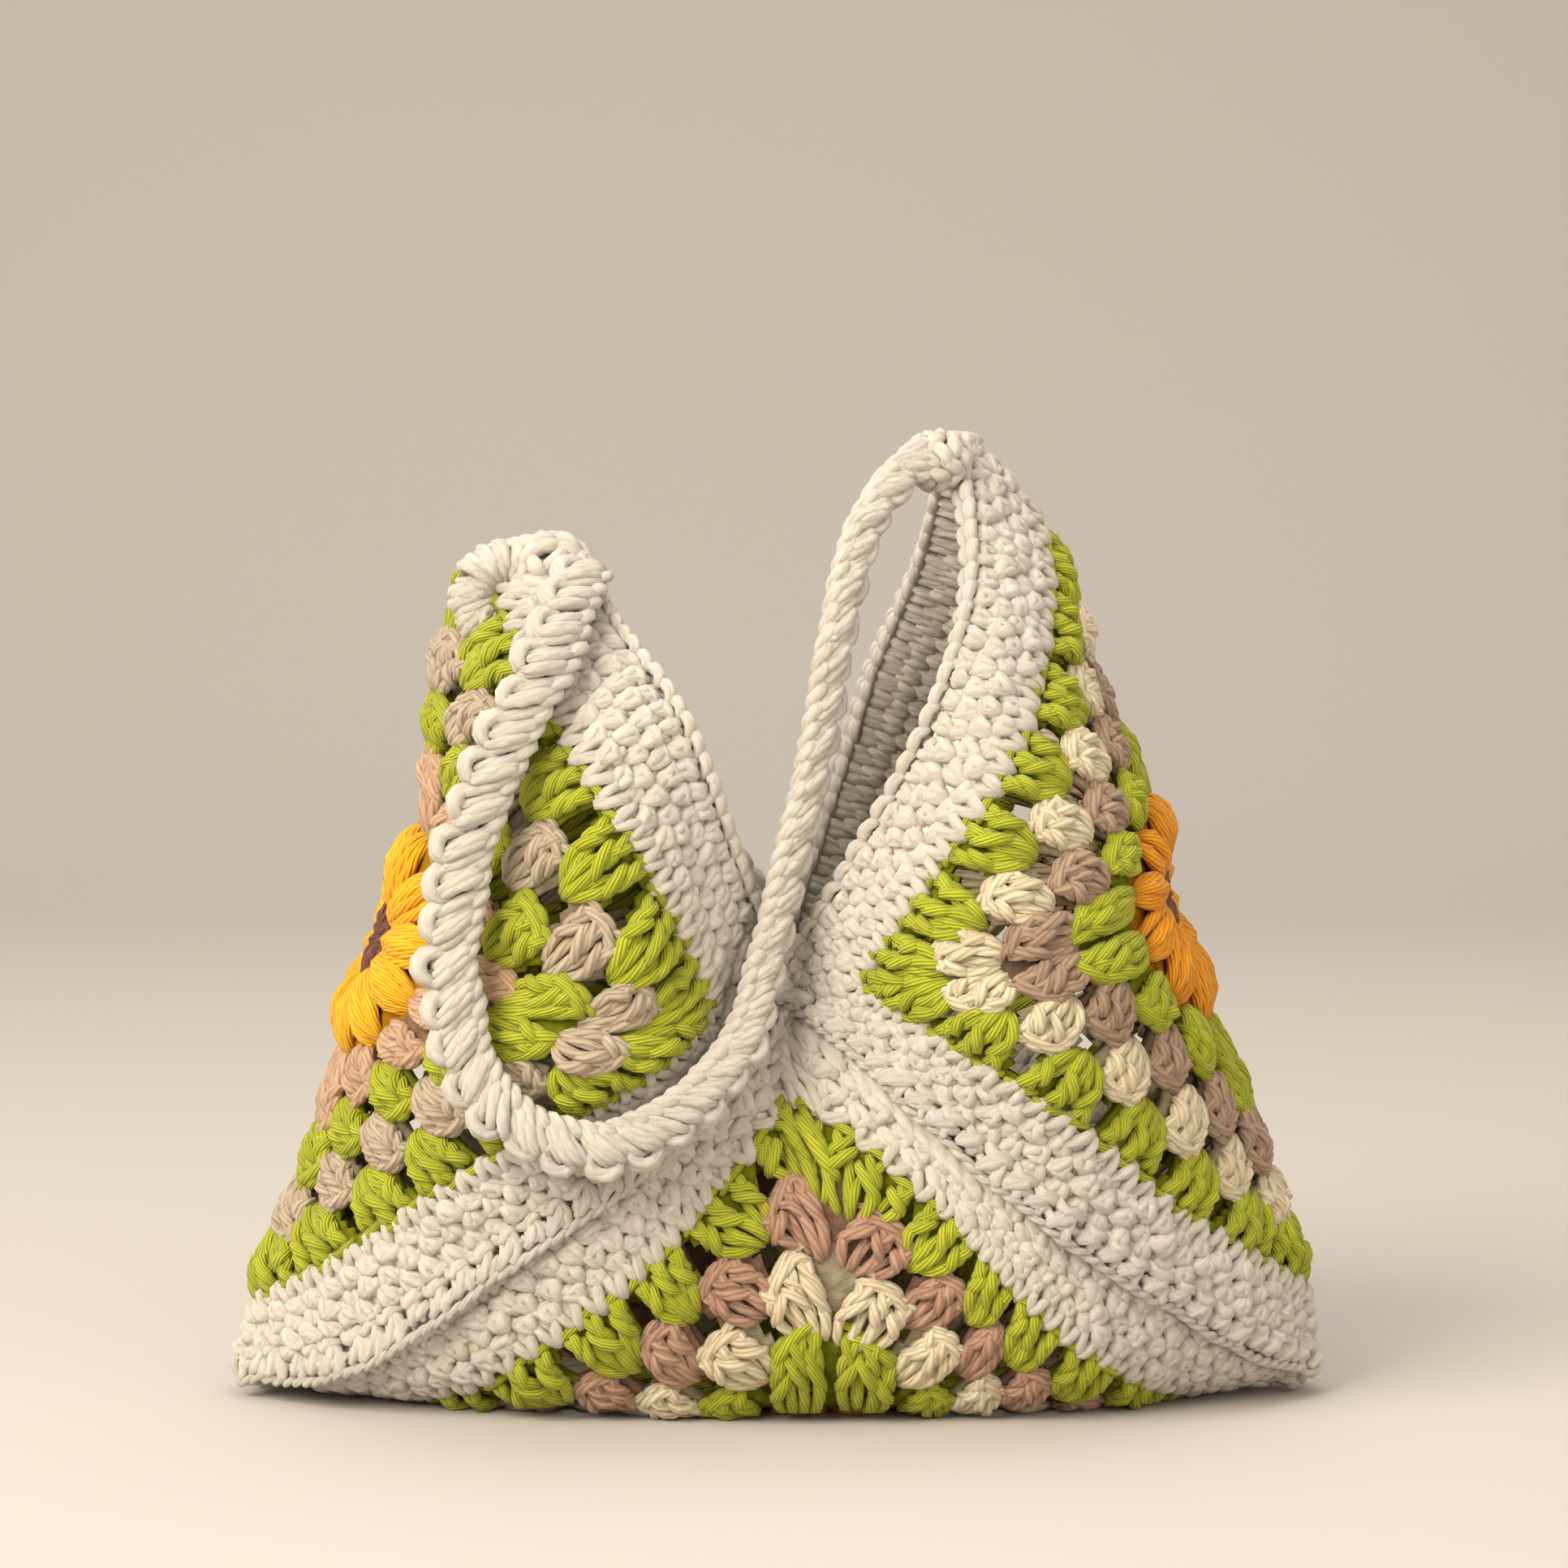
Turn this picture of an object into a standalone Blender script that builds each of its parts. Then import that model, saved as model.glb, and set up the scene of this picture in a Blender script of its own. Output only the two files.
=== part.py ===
"""A crocheted knot bag: three sunflower granny squares folded into a hollow bag, with seams, rims, strap."""

import math
from collections import namedtuple

import bpy
import numpy as np

# Overall size of the bag. The tables below hold millimetres of the drawn size 197 x 100 x 178.
WIDTH = 0.197
DEPTH = 0.100
HEIGHT = 0.178
ACROSS = WIDTH / 197.0
DEEP = DEPTH / 100.0
HIGH = HEIGHT / 178.0

# The flat granny square.
PITCH = 0.01815  # one cluster of three stitches along a side
OUTER_CLUSTERS = 7  # clusters on a side of the last coloured round
BORDER = 0.014  # white rows round the coloured rounds
HALF = PITCH * OUTER_CLUSTERS / 2 + BORDER  # half a side of the square
WALL = 0.004  # thickness of the crochet
CLEAR = 0.0003  # gap between neighbouring pieces
ROUND_GAP = 0.0009  # flat gap between two rounds, more than CLEAR because the cloth bends
EYE = 0.008  # radius of the brown middle
PETAL_DENT = 0.0018  # how far the notch between two petals goes in
PETALS = 12
FLOOR_REST = 2.0  # height of the middle of the cloth where it lies flat on the floor, in table millimetres
STEPS = 12  # faces along a side of a round
GAP_HALF = 0.0018  # half the width of a gap between clusters
GAP_DEEP = 0.45  # share of a round's width

# Cords and strap.
CORD = 0.0024  # radius of a seam or rim cord
EDGE_CUT = CORD * 1.55 + CLEAR  # how far the border stops from the seam line
CORD_SIDES = 6
CORD_STEPS = 50
SEAM_END = 0.0042  # how far a seam stops from the notch
RIM_END = 0.0060  # how far a rim stops from the notch
STRAP_WIDE = 0.0125
STRAP_THICK = 0.0045
STRAP_STEPS = 44
STRAP_END = 0.0036  # how far the strap stops from the middle of the rim cord

Row = namedtuple("Row", "share x y z")
Fold = namedtuple("Fold", "along near near_out far far_out drop")
Turn = namedtuple("Turn", "share x y z roll")

# The fold along each square's diagonal, from one end to the other.
LEFT_SPINE = (
    Row(0.000, -37.0, -12.0, 156.5),
    Row(0.125, -53.5, -2.0, 152.5),
    Row(0.250, -61.5, 0.0, 130.0),
    Row(0.375, -62.5, 0.0, 111.0),
    Row(0.500, -70.0, 0.0, 90.0),
    Row(0.625, -78.0, 0.0, 68.0),
    Row(0.750, -84.0, 0.0, 46.0),
    Row(0.875, -94.0, 0.0, 23.5),
    Row(1.000, -97.5, 0.0, 4.5),
)
BASE_SPINE = (
    Row(0.000, -97.5, 0.0, 4.5),
    Row(0.125, -72.0, 0.0, 2.0),
    Row(0.500, 7.0, 0.0, 2.0),
    Row(0.875, 76.0, 0.0, 2.0),
    Row(1.000, 97.5, 0.0, 4.5),
)
RIGHT_SPINE = (
    Row(0.000, 97.5, 0.0, 4.5),
    Row(0.125, 95.5, 0.0, 23.0),
    Row(0.250, 89.0, 0.0, 43.0),
    Row(0.375, 80.0, 0.0, 66.0),
    Row(0.500, 70.0, 0.0, 91.0),
    Row(0.625, 67.0, 0.0, 110.0),
    Row(0.750, 57.0, 0.0, 130.0),
    Row(0.875, 50.0, 0.0, 154.0),
    Row(1.000, 33.0, -3.0, 176.5),
)

# Seams from a lower corner to the front notch, and rims from a tip to a notch.
LEFT_SEAM = (
    Row(0.00, -97.5, -2.5, 4.5),
    Row(0.25, -73.0, -23.0, 12.0),
    Row(0.50, -46.0, -38.0, 33.0),
    Row(0.75, -19.0, -38.0, 54.0),
    Row(0.90, -6.0, -27.0, 68.0),
    Row(1.00, 0.0, -16.0, 77.0),
)
RIGHT_SEAM = (
    Row(0.00, 97.5, -2.5, 4.5),
    Row(0.25, 76.0, -24.0, 18.0),
    Row(0.50, 49.0, -40.0, 37.0),
    Row(0.75, 23.0, -36.0, 61.0),
    Row(0.90, 9.0, -25.0, 72.0),
    Row(1.00, 0.0, -16.0, 77.0),
)
LEFT_FRONT_RIM = (
    Row(0.00, -35.5, -16.0, 154.0),
    Row(0.25, -29.0, -27.0, 142.0),
    Row(0.50, -16.5, -37.0, 125.0),
    Row(0.75, -8.0, -31.0, 101.0),
    Row(1.00, 0.0, -16.0, 77.0),
)
LEFT_BACK_RIM = (
    Row(0.00, -38.5, -8.0, 155.0),
    Row(0.25, -36.0, 10.0, 144.0),
    Row(0.50, -26.0, 24.0, 128.0),
    Row(0.75, -15.0, 24.0, 106.0),
    Row(1.00, 2.0, 17.0, 84.0),
)
RIGHT_FRONT_RIM = (
    Row(0.00, 33.0, -7.0, 174.5),
    Row(0.25, 34.5, -24.0, 150.0),
    Row(0.50, 27.0, -34.0, 126.0),
    Row(0.75, 13.0, -29.0, 99.0),
    Row(1.00, 0.0, -16.0, 77.0),
)
RIGHT_BACK_RIM = (
    Row(0.00, 32.0, 1.0, 175.0),
    Row(0.25, 27.0, 18.0, 153.0),
    Row(0.50, 18.0, 28.0, 131.0),
    Row(0.75, 10.0, 27.0, 107.0),
    Row(1.00, 2.0, 17.0, 84.0),
)
BACK_NOTCH = np.array((2.0, 1.0, 7.0))  # the back notch against the mirrored front one

# How the cloth bellies out between the fold and the edge. near and far are shares of the straight line
# from the fold to the edge, and the outs are millimetres away from the bag's middle plane.
LEFT_FOLDS = (
    Fold(-1.00, 0.25, 0.0, 0.65, 0.0, 0.0),
    Fold(-0.75, 0.25, 6.0, 0.62, 5.0, 0.0),
    Fold(-0.50, 0.20, 14.0, 0.62, 16.0, 0.0),
    Fold(-0.25, 0.18, 24.0, 0.60, 28.0, -2.0),
    Fold(0.00, 0.18, 31.0, 0.62, 37.0, -8.0),
    Fold(0.25, 0.17, 22.0, 0.60, 22.0, -3.0),
    Fold(0.50, 0.20, 11.0, 0.60, 11.0, 0.0),
    Fold(0.75, 0.25, 5.0, 0.60, 4.0, 0.0),
    Fold(1.00, 0.33, 0.0, 0.67, 0.0, 0.0),
)
BASE_FOLDS = (
    Fold(-1.00, 0.33, 0.0, 0.67, 0.0, 0.0),
    Fold(-0.75, 0.10, 8.0, 0.40, 9.0, 0.0),
    Fold(-0.50, 0.05, 18.0, 0.36, 19.0, 0.0),
    Fold(-0.25, 0.045, 26.0, 0.44, 21.0, 0.0),
    Fold(0.00, 0.045, 29.5, 0.50, 27.0, 0.0),
    Fold(0.25, 0.045, 26.0, 0.44, 21.0, 0.0),
    Fold(0.50, 0.05, 18.0, 0.36, 19.0, 0.0),
    Fold(0.75, 0.10, 8.0, 0.40, 9.0, 0.0),
    Fold(1.00, 0.33, 0.0, 0.67, 0.0, 0.0),
)
RIGHT_FOLDS = (
    Fold(-1.00, 0.33, 0.0, 0.67, 0.0, 0.0),
    Fold(-0.75, 0.25, 5.0, 0.60, 5.0, 0.0),
    Fold(-0.50, 0.20, 10.0, 0.60, 10.0, 0.0),
    Fold(-0.25, 0.18, 22.0, 0.60, 24.0, 0.0),
    Fold(0.00, 0.14, 32.0, 0.53, 35.0, -2.0),
    Fold(0.25, 0.15, 24.0, 0.55, 26.0, 0.0),
    Fold(0.50, 0.15, 15.0, 0.58, 14.0, 0.0),
    Fold(0.75, 0.20, 6.0, 0.60, 5.0, 0.0),
    Fold(1.00, 0.25, 0.0, 0.65, 0.0, 0.0),
)

# The strap's middle line. roll turns its face away from straight ahead, in degrees.
STRAP_PATH = (
    Turn(0.00, -34.0, -23.0, 155.5, 0.0),
    Turn(0.07, -41.0, -40.5, 139.0, 5.0),
    Turn(0.15, -51.5, -47.0, 117.0, 10.0),
    Turn(0.21, -57.0, -49.0, 99.0, 12.0),
    Turn(0.28, -58.0, -51.0, 80.5, 10.0),
    Turn(0.34, -54.5, -52.0, 65.0, 5.0),
    Turn(0.40, -45.0, -53.0, 55.0, 0.0),
    Turn(0.46, -31.0, -52.5, 51.0, 0.0),
    Turn(0.52, -16.5, -48.0, 56.5, 10.0),
    Turn(0.58, -6.0, -39.0, 68.0, 25.0),
    Turn(0.65, -1.0, -32.0, 85.0, 40.0),
    Turn(0.73, 4.0, -31.0, 106.0, 45.0),
    Turn(0.81, 9.0, -30.0, 128.0, 45.0),
    Turn(0.90, 13.5, -27.0, 152.5, 40.0),
    Turn(0.96, 20.5, -19.0, 166.5, 30.0),
    Turn(1.00, 30.5, -12.5, 174.5, 20.0),
)

Square = namedtuple("Square", "spine front back folds")


def through(rows, share):
    """Smooth values through a table at the given shares. The first column is the share."""
    table = np.array(rows, float)
    knots = table[:, 0]
    values = table[:, 1:]
    steps = np.diff(knots)[:, None]
    rise = np.diff(values, axis=0) / steps
    slopes = np.empty_like(values)
    slopes[0] = rise[0]
    slopes[-1] = rise[-1]
    slopes[1:-1] = (rise[:-1] * steps[1:] + rise[1:] * steps[:-1]) / (steps[1:] + steps[:-1])
    share = np.clip(np.atleast_1d(share).astype(float), knots[0], knots[-1])
    i = np.clip(np.searchsorted(knots, share, side="right") - 1, 0, len(knots) - 2)
    h = steps[i]
    t = (share[:, None] - knots[i][:, None]) / h
    return (
        values[i] * (2 * t**3 - 3 * t**2 + 1)
        + slopes[i] * h * (t**3 - 2 * t**2 + t)
        + values[i + 1] * (3 * t**2 - 2 * t**3)
        + slopes[i + 1] * h * (t**3 - t**2)
    )


def behind(rows):
    """The back seam: the front one mirrored, its end moved to the back notch."""
    moved = []
    for row in rows:
        shift = BACK_NOTCH * row.share**3
        moved.append(Row(row.share, row.x + shift[0], -row.y + shift[1], row.z + shift[2]))
    return tuple(moved)


def joined(first, second):
    """Two edges that meet at a notch, as one function of the place along the fold from -1 to 1."""

    def edge(along):
        before = through(first, np.clip(along + 1, 0, 1))
        after = through(second, np.clip(1 - along, 0, 1))
        return np.where((along < 0)[:, None], before, after)

    return edge


LEFT = Square(
    LEFT_SPINE,
    joined(LEFT_FRONT_RIM, LEFT_SEAM),
    joined(LEFT_BACK_RIM, behind(LEFT_SEAM)),
    LEFT_FOLDS,
)
BASE = Square(
    BASE_SPINE,
    joined(LEFT_SEAM, RIGHT_SEAM),
    joined(behind(LEFT_SEAM), behind(RIGHT_SEAM)),
    BASE_FOLDS,
)
RIGHT = Square(
    RIGHT_SPINE,
    joined(RIGHT_SEAM, RIGHT_FRONT_RIM),
    joined(behind(RIGHT_SEAM), RIGHT_BACK_RIM),
    RIGHT_FOLDS,
)

UNITS = np.array((ACROSS, DEEP, HIGH))
ALONG = np.linspace(-1, 1, 81)
OUTWARD = np.linspace(0, 1, 25)


def section_points(square, along, side):
    """Points of the sections from the fold to one edge, evenly spaced by length. side is -1 front, 1 back."""
    spine = through(square.spine, (along + 1) / 2)
    edge = (square.front if side < 0 else square.back)(along)
    folds = through(square.folds, along)
    chord = edge - spine
    sideways = np.array((0.0, side, 0.0))
    lift = np.array((0.0, 0.0, 1.0))
    near = spine + chord * folds[:, :1] + sideways * folds[:, 1:2] + lift * folds[:, 4:5] * 0.6
    far = spine + chord * folds[:, 2:3] + sideways * folds[:, 3:4] + lift * folds[:, 4:5]
    reach = np.linalg.norm(near - spine, axis=1)[:, None]
    start = sideways * reach * 1.15
    middle_near = (far - spine) / 2
    middle_far = (edge - near) / 2
    end = (edge - far) * 1.1
    fine = np.linspace(0, 1, 13)[1:]
    points = [spine]
    stretches = (
        (spine, near, start, middle_near),
        (near, far, middle_near, middle_far),
        (far, edge, middle_far, end),
    )
    for a, b, out, into in stretches:
        for t in fine:
            points.append(
                a * (2 * t**3 - 3 * t**2 + 1)
                + out * (t**3 - 2 * t**2 + t)
                + b * (3 * t**2 - 2 * t**3)
                + into * (t**3 - t**2)
            )
    line = np.stack(points, axis=1)
    walked = np.linalg.norm(np.diff(line, axis=1), axis=2).cumsum(axis=1)
    walked = np.concatenate([np.zeros((len(along), 1)), walked], axis=1)
    even = np.empty((len(along), len(OUTWARD), 3))
    for i in range(len(along)):
        for k in range(3):
            even[i, :, k] = np.interp(OUTWARD * walked[i, -1], walked[i], line[i, :, k])
    even[..., 2] = np.maximum(even[..., 2], FLOOR_REST)
    return even * UNITS


def sheet_of(square):
    return {side: section_points(square, ALONG, side) for side in (-1, 1)}


def on_sheet(sheet, u, v):
    """Points of the middle of the cloth for flat places in metres from the square's middle."""
    u = np.asarray(u, float) / HALF
    v = np.asarray(v, float) / HALF
    along = np.clip((u + v) / 2, -0.995, 0.995)
    across = (v - u) / 2
    share = np.clip(np.abs(across) / (1 - np.abs(along)), 0, 1)
    x = (along + 1) / 2 * (len(ALONG) - 1)
    y = share * (len(OUTWARD) - 1)
    i = np.clip(x.astype(int), 0, len(ALONG) - 2)
    j = np.clip(y.astype(int), 0, len(OUTWARD) - 2)
    s = (x - i)[..., None]
    t = (y - j)[..., None]
    found = []
    for side in (-1, 1):
        grid = sheet[side]
        found.append(
            (grid[i, j] * (1 - t) + grid[i, j + 1] * t) * (1 - s)
            + (grid[i + 1, j] * (1 - t) + grid[i + 1, j + 1] * t) * s
        )
    return np.where((across > 0)[..., None], found[0], found[1])


def lifted(sheet, u, v, height):
    """Points at a height above the middle of the cloth, outwards."""
    step = 0.004
    du = on_sheet(sheet, u + step, v) - on_sheet(sheet, u - step, v)
    dv = on_sheet(sheet, u, v + step) - on_sheet(sheet, u, v - step)
    normal = np.cross(du, dv)
    normal /= np.maximum(np.linalg.norm(normal, axis=-1, keepdims=True), 1e-12)
    return on_sheet(sheet, u, v) + normal * height


def material(name, colour, roughness=0.9):
    made = bpy.data.materials.new(name)
    made.use_nodes = True
    shader = made.node_tree.nodes["Principled BSDF"]
    shader.inputs["Base Color"].default_value = (*colour, 1.0)
    shader.inputs["Roughness"].default_value = roughness
    made.diffuse_color = (*colour, 1.0)
    return made


def add_object(name, vertices, faces, colour):
    mesh = bpy.data.meshes.new(name)
    mesh.from_pydata([tuple(map(float, v)) for v in vertices], [], faces)
    mesh.update()
    made = bpy.data.objects.new(name, mesh)
    made.data.materials.append(material(name + "_yarn", colour))
    PARTS.objects.link(made)
    return made


def ring_places(radius, corner):
    """Flat places round a ring: corner 1 is a square of that half side, 0 a circle."""
    places = []
    for quarter in range(4):
        for step in range(STEPS):
            slide = 2 * step / STEPS - 1
            x, y = slide, -1.0
            size = corner + (1 - corner) / math.hypot(x, y)
            c, s = ((1, 0), (0, 1), (-1, 0), (0, -1))[quarter]
            places.append((radius * size * (x * c - y * s), radius * size * (x * s + y * c)))
    return np.array(places)


def gap_steps(clusters):
    """The steps of a side where a gap falls between two clusters, the corner gap first."""
    return {round(k * STEPS / clusters) for k in range(clusters)}


def stepped(start, towards, length):
    """The place that far from start, on the way to another place."""
    way = towards - start
    return start + way / np.linalg.norm(way) * length


def add_round(name, sheet, inner, outer, colour, inner_corner=1.0, clusters=0, rows=1):
    """A closed round of the square between two half sides, with a gap before each cluster if asked."""
    inside = ring_places(inner, inner_corner)
    outside = ring_places(outer, 1.0)
    count = len(inside)
    gaps = gap_steps(clusters) if clusters else set()
    vertices = []
    strips = [[] for _ in range(count)]
    spoke = []
    for k in range(count):
        line = [inside[k] + (outside[k] - inside[k]) * r / rows for r in range(rows + 1)]
        if k % STEPS in gaps:
            line[0] = inside[k] + (outside[k] - inside[k]) * GAP_DEEP
            if k % STEPS == 0:
                before = stepped(inside[k], inside[k - 1], GAP_HALF * 1.4)
                after = stepped(inside[k], inside[(k + 1) % count], GAP_HALF * 1.4)
            else:
                along = outside[(k + 1) % count] - outside[k - 1]
                before = stepped(inside[k], inside[k] - along, GAP_HALF)
                after = stepped(inside[k], inside[k] + along, GAP_HALF)
            spoke.append((line, before, after))
        else:
            spoke.append((line, None, None))
    index = []
    for line, before, after in spoke:
        numbers = []
        for place in line:
            numbers.append(len(vertices))
            vertices.append(place)
        sides = []
        for place in (before, after):
            if place is None:
                sides.append(None)
            else:
                sides.append(len(vertices))
                vertices.append(place)
        index.append((numbers, sides[0], sides[1]))
    flat = np.array(vertices)
    faces = []
    walls = []
    for k in range(count):
        here, _, after = index[k]
        there, before, _ = index[(k + 1) % count]
        first = [number for number in (here[0], after, before, there[0]) if number is not None]
        faces.append(first + [there[1], here[1]])
        walls.extend(zip(first[:-1], first[1:]))
        for r in range(1, rows):
            faces.append([here[r], there[r], there[r + 1], here[r + 1]])
        walls.append((there[rows], here[rows]))
    faces = [face[::-1] for face in faces]
    walls = [(b, a) for a, b in walls]
    return add_slab(name, sheet, flat, faces, walls, colour)


def add_slab(name, sheet, flat, faces, walls, colour):
    """Thickens flat faces on the cloth into one closed body. walls lists the open edges in face order."""
    top = lifted(sheet, flat[:, 0], flat[:, 1], WALL / 2)
    under = lifted(sheet, flat[:, 0], flat[:, 1], -WALL / 2)
    count = len(flat)
    solid = []
    for face in faces:
        solid.append(tuple(face))
        solid.append(tuple(i + count for i in reversed(face)))
    for a, b in walls:
        solid.append((b, a, a + count, b + count))
    return add_object(name, np.concatenate([top, under]), solid, colour)


def add_flower(name, sheet, eye_colour, petal_colour):
    """The brown middle and the ring of petals round it."""
    count = PETALS * 4
    angles = np.arange(count) * 2 * math.pi / count
    eye = [(0.0, 0.0)] + [(EYE * math.cos(a), EYE * math.sin(a)) for a in angles[::3]]
    spokes = len(eye) - 1
    faces = [[0, 1 + k, 1 + (k + 1) % spokes] for k in range(spokes)]
    walls = [(1 + k, 1 + (k + 1) % spokes) for k in range(spokes)]
    add_slab(name + "_eye", sheet, np.array(eye), faces, walls, eye_colour)
    reach = FLOWER - CLEAR
    inner = [((EYE + CLEAR * 1.6) * math.cos(a), (EYE + CLEAR * 1.6) * math.sin(a)) for a in angles]
    outer = []
    for k, a in enumerate(angles):
        radius = reach - PETAL_DENT * (1.0, 0.25, 0.0, 0.25)[k % 4]
        outer.append((radius * math.cos(a), radius * math.sin(a)))
    flat = np.array(inner + outer)
    faces = []
    walls = []
    for k in range(count):
        n = (k + 1) % count
        faces.append([k, count + k, count + n, n])
        walls.append((count + k, count + n))
        walls.append((n, k))
    add_slab(name + "_petals", sheet, flat, faces, walls, petal_colour)


def tube(name, line, across, lift, profile, colour):
    """A closed body swept along a line with given side directions and a flat profile."""
    rings = len(line)
    sides = len(profile)
    vertices = []
    for point, a, b in zip(line, across, lift):
        for x, y in profile:
            vertices.append(point + a * x + b * y)
    faces = []
    for i in range(rings - 1):
        for k in range(sides):
            n = (k + 1) % sides
            faces.append((i * sides + k, i * sides + n, (i + 1) * sides + n, (i + 1) * sides + k))
    faces.append(tuple(reversed(range(sides))))
    faces.append(tuple(range((rings - 1) * sides, rings * sides)))
    return add_object(name, vertices, faces, colour)


def frames_along(line, face):
    """Unit directions across a line and out of it, the second as near to face as the line allows."""
    tangent = np.gradient(line, axis=0)
    tangent /= np.linalg.norm(tangent, axis=1)[:, None]
    lift = face - tangent * (face * tangent).sum(axis=1)[:, None]
    lift /= np.linalg.norm(lift, axis=1)[:, None]
    return np.cross(lift, tangent), lift, tangent


def even_line(points, count, start, end):
    """Even steps along a polyline, leaving out a length at each end."""
    walked = np.concatenate([[0], np.linalg.norm(np.diff(points, axis=0), axis=1).cumsum()])
    at = np.linspace(start, walked[-1] - end, count)
    return np.stack([np.interp(at, walked, points[:, k]) for k in range(3)], axis=1)


def add_cord(name, first, second, colour, notch):
    """A cord from the front notch round a corner or tip to the back notch."""
    shares = np.linspace(0, 1, 40)
    line = np.concatenate([through(first, 1 - shares), through(second, shares)[1:]]) * UNITS
    for _ in range(3):
        line[1:-1] = (line[:-2] + 2 * line[1:-1] + line[2:]) / 4
    line = even_line(line, CORD_STEPS, notch, notch)
    tangent = np.gradient(line, axis=0)
    tangent /= np.linalg.norm(tangent, axis=1)[:, None]
    lift = np.empty_like(line)
    lift[0] = np.cross(tangent[0], (0.0, 1.0, 0.0))
    for i in range(1, len(line)):
        lift[i] = lift[i - 1] - tangent[i] * np.dot(lift[i - 1], tangent[i])
        lift[i] /= np.linalg.norm(lift[i])
    lift[0] -= tangent[0] * np.dot(lift[0], tangent[0])
    lift[0] /= np.linalg.norm(lift[0])
    across = np.cross(lift, tangent)
    turns = np.arange(CORD_SIDES) * 2 * math.pi / CORD_SIDES
    profile = [(CORD * math.cos(t), CORD * math.sin(t)) for t in turns]
    tube(name, line, across, lift, profile, colour)


def add_strap(colour):
    shares = np.linspace(0, 1, 160)
    rows = through(STRAP_PATH, shares)
    line = rows[:, :3] * UNITS
    walked = np.concatenate([[0], np.linalg.norm(np.diff(line, axis=0), axis=1).cumsum()])
    at = np.linspace(STRAP_END, walked[-1] - STRAP_END, STRAP_STEPS)
    line = np.stack([np.interp(at, walked, line[:, k]) for k in range(3)], axis=1)
    roll = np.radians(np.interp(at, walked, rows[:, 3]))
    face = np.stack([np.sin(roll), -np.cos(roll), np.zeros_like(roll)], axis=1)
    across, lift, _ = frames_along(line, face)
    w = STRAP_WIDE / 2
    t = STRAP_THICK / 2
    profile = [
        (-w, -t * 0.5),
        (-w * 0.8, -t),
        (w * 0.8, -t),
        (w, -t * 0.5),
        (w, t * 0.5),
        (w * 0.8, t),
        (-w * 0.8, t),
        (-w, t * 0.5),
    ]
    tube("strap", line, across, lift, profile, colour)


for old in list(bpy.data.objects):
    bpy.data.objects.remove(old)
PARTS = bpy.data.collections.new("crochet_bag")
bpy.context.scene.collection.children.link(PARTS)

LIME = (0.40, 0.58, 0.035)
WHITE = (0.87, 0.80, 0.70)
CREAM = (0.79, 0.70, 0.55)
BEIGE = (0.58, 0.46, 0.35)
ROSE = (0.51, 0.26, 0.17)
TAUPE = (0.40, 0.26, 0.19)
PEACH = (0.61, 0.33, 0.19)
BROWN = (0.19, 0.045, 0.02)
YELLOW = (0.95, 0.45, 0.01)
ORANGE = (0.90, 0.33, 0.01)

ROW = PITCH / 2  # one round is half a cluster wide, so each round adds one cluster to a side
FLOWER = HALF - BORDER - 4 * ROW
Make = namedtuple("Make", "name square petals rounds gaps")
TONES = {"peach": PEACH, "lime": LIME, "beige": BEIGE, "cream": CREAM, "rose": ROSE, "taupe": TAUPE}
SQUARES = (
    Make("left", LEFT, YELLOW, ("peach", "lime", "beige", "lime"), (0, 0, 0, 7)),
    Make("base", BASE, ORANGE, ("lime", "cream", "rose", "lime"), (0, 0, 6, 7)),
    Make("right", RIGHT, ORANGE, ("lime", "taupe", "cream", "lime"), (0, 0, 0, 7)),
)

for make in SQUARES:
    sheet = sheet_of(make.square)
    add_flower(make.name, sheet, BROWN, make.petals)
    for k, tone in enumerate(make.rounds):
        inner = FLOWER + k * ROW + ROUND_GAP / 2
        outer = FLOWER + (k + 1) * ROW - ROUND_GAP / 2
        add_round(
            f"{make.name}_round_{k + 3}_{tone}",
            sheet,
            inner,
            outer,
            TONES[tone],
            inner_corner=1.0 if k else 0.0,
            clusters=make.gaps[k],
        )
    add_round(make.name + "_border", sheet, HALF - BORDER + ROUND_GAP / 2, HALF - EDGE_CUT, WHITE, rows=2)

add_cord("left_seam", LEFT_SEAM, behind(LEFT_SEAM), WHITE, SEAM_END)
add_cord("right_seam", RIGHT_SEAM, behind(RIGHT_SEAM), WHITE, SEAM_END)
add_cord("left_rim", LEFT_FRONT_RIM, LEFT_BACK_RIM, WHITE, RIM_END)
add_cord("right_rim", RIGHT_FRONT_RIM, RIGHT_BACK_RIM, WHITE, RIM_END)
add_strap(WHITE)

# The frame's origin is the middle of the part's box, at its bottom.
corners = np.array([vertex.co[:] for made in PARTS.objects for vertex in made.data.vertices])
low = corners.min(axis=0)
high = corners.max(axis=0)
middle = bpy.data.objects.new("bag_middle", None)
middle.location = (-(low[0] + high[0]) / 2, -(low[1] + high[1]) / 2, -low[2])
bpy.context.scene.collection.objects.link(middle)
for made in PARTS.objects:
    made.parent = middle
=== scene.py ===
import math

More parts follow.
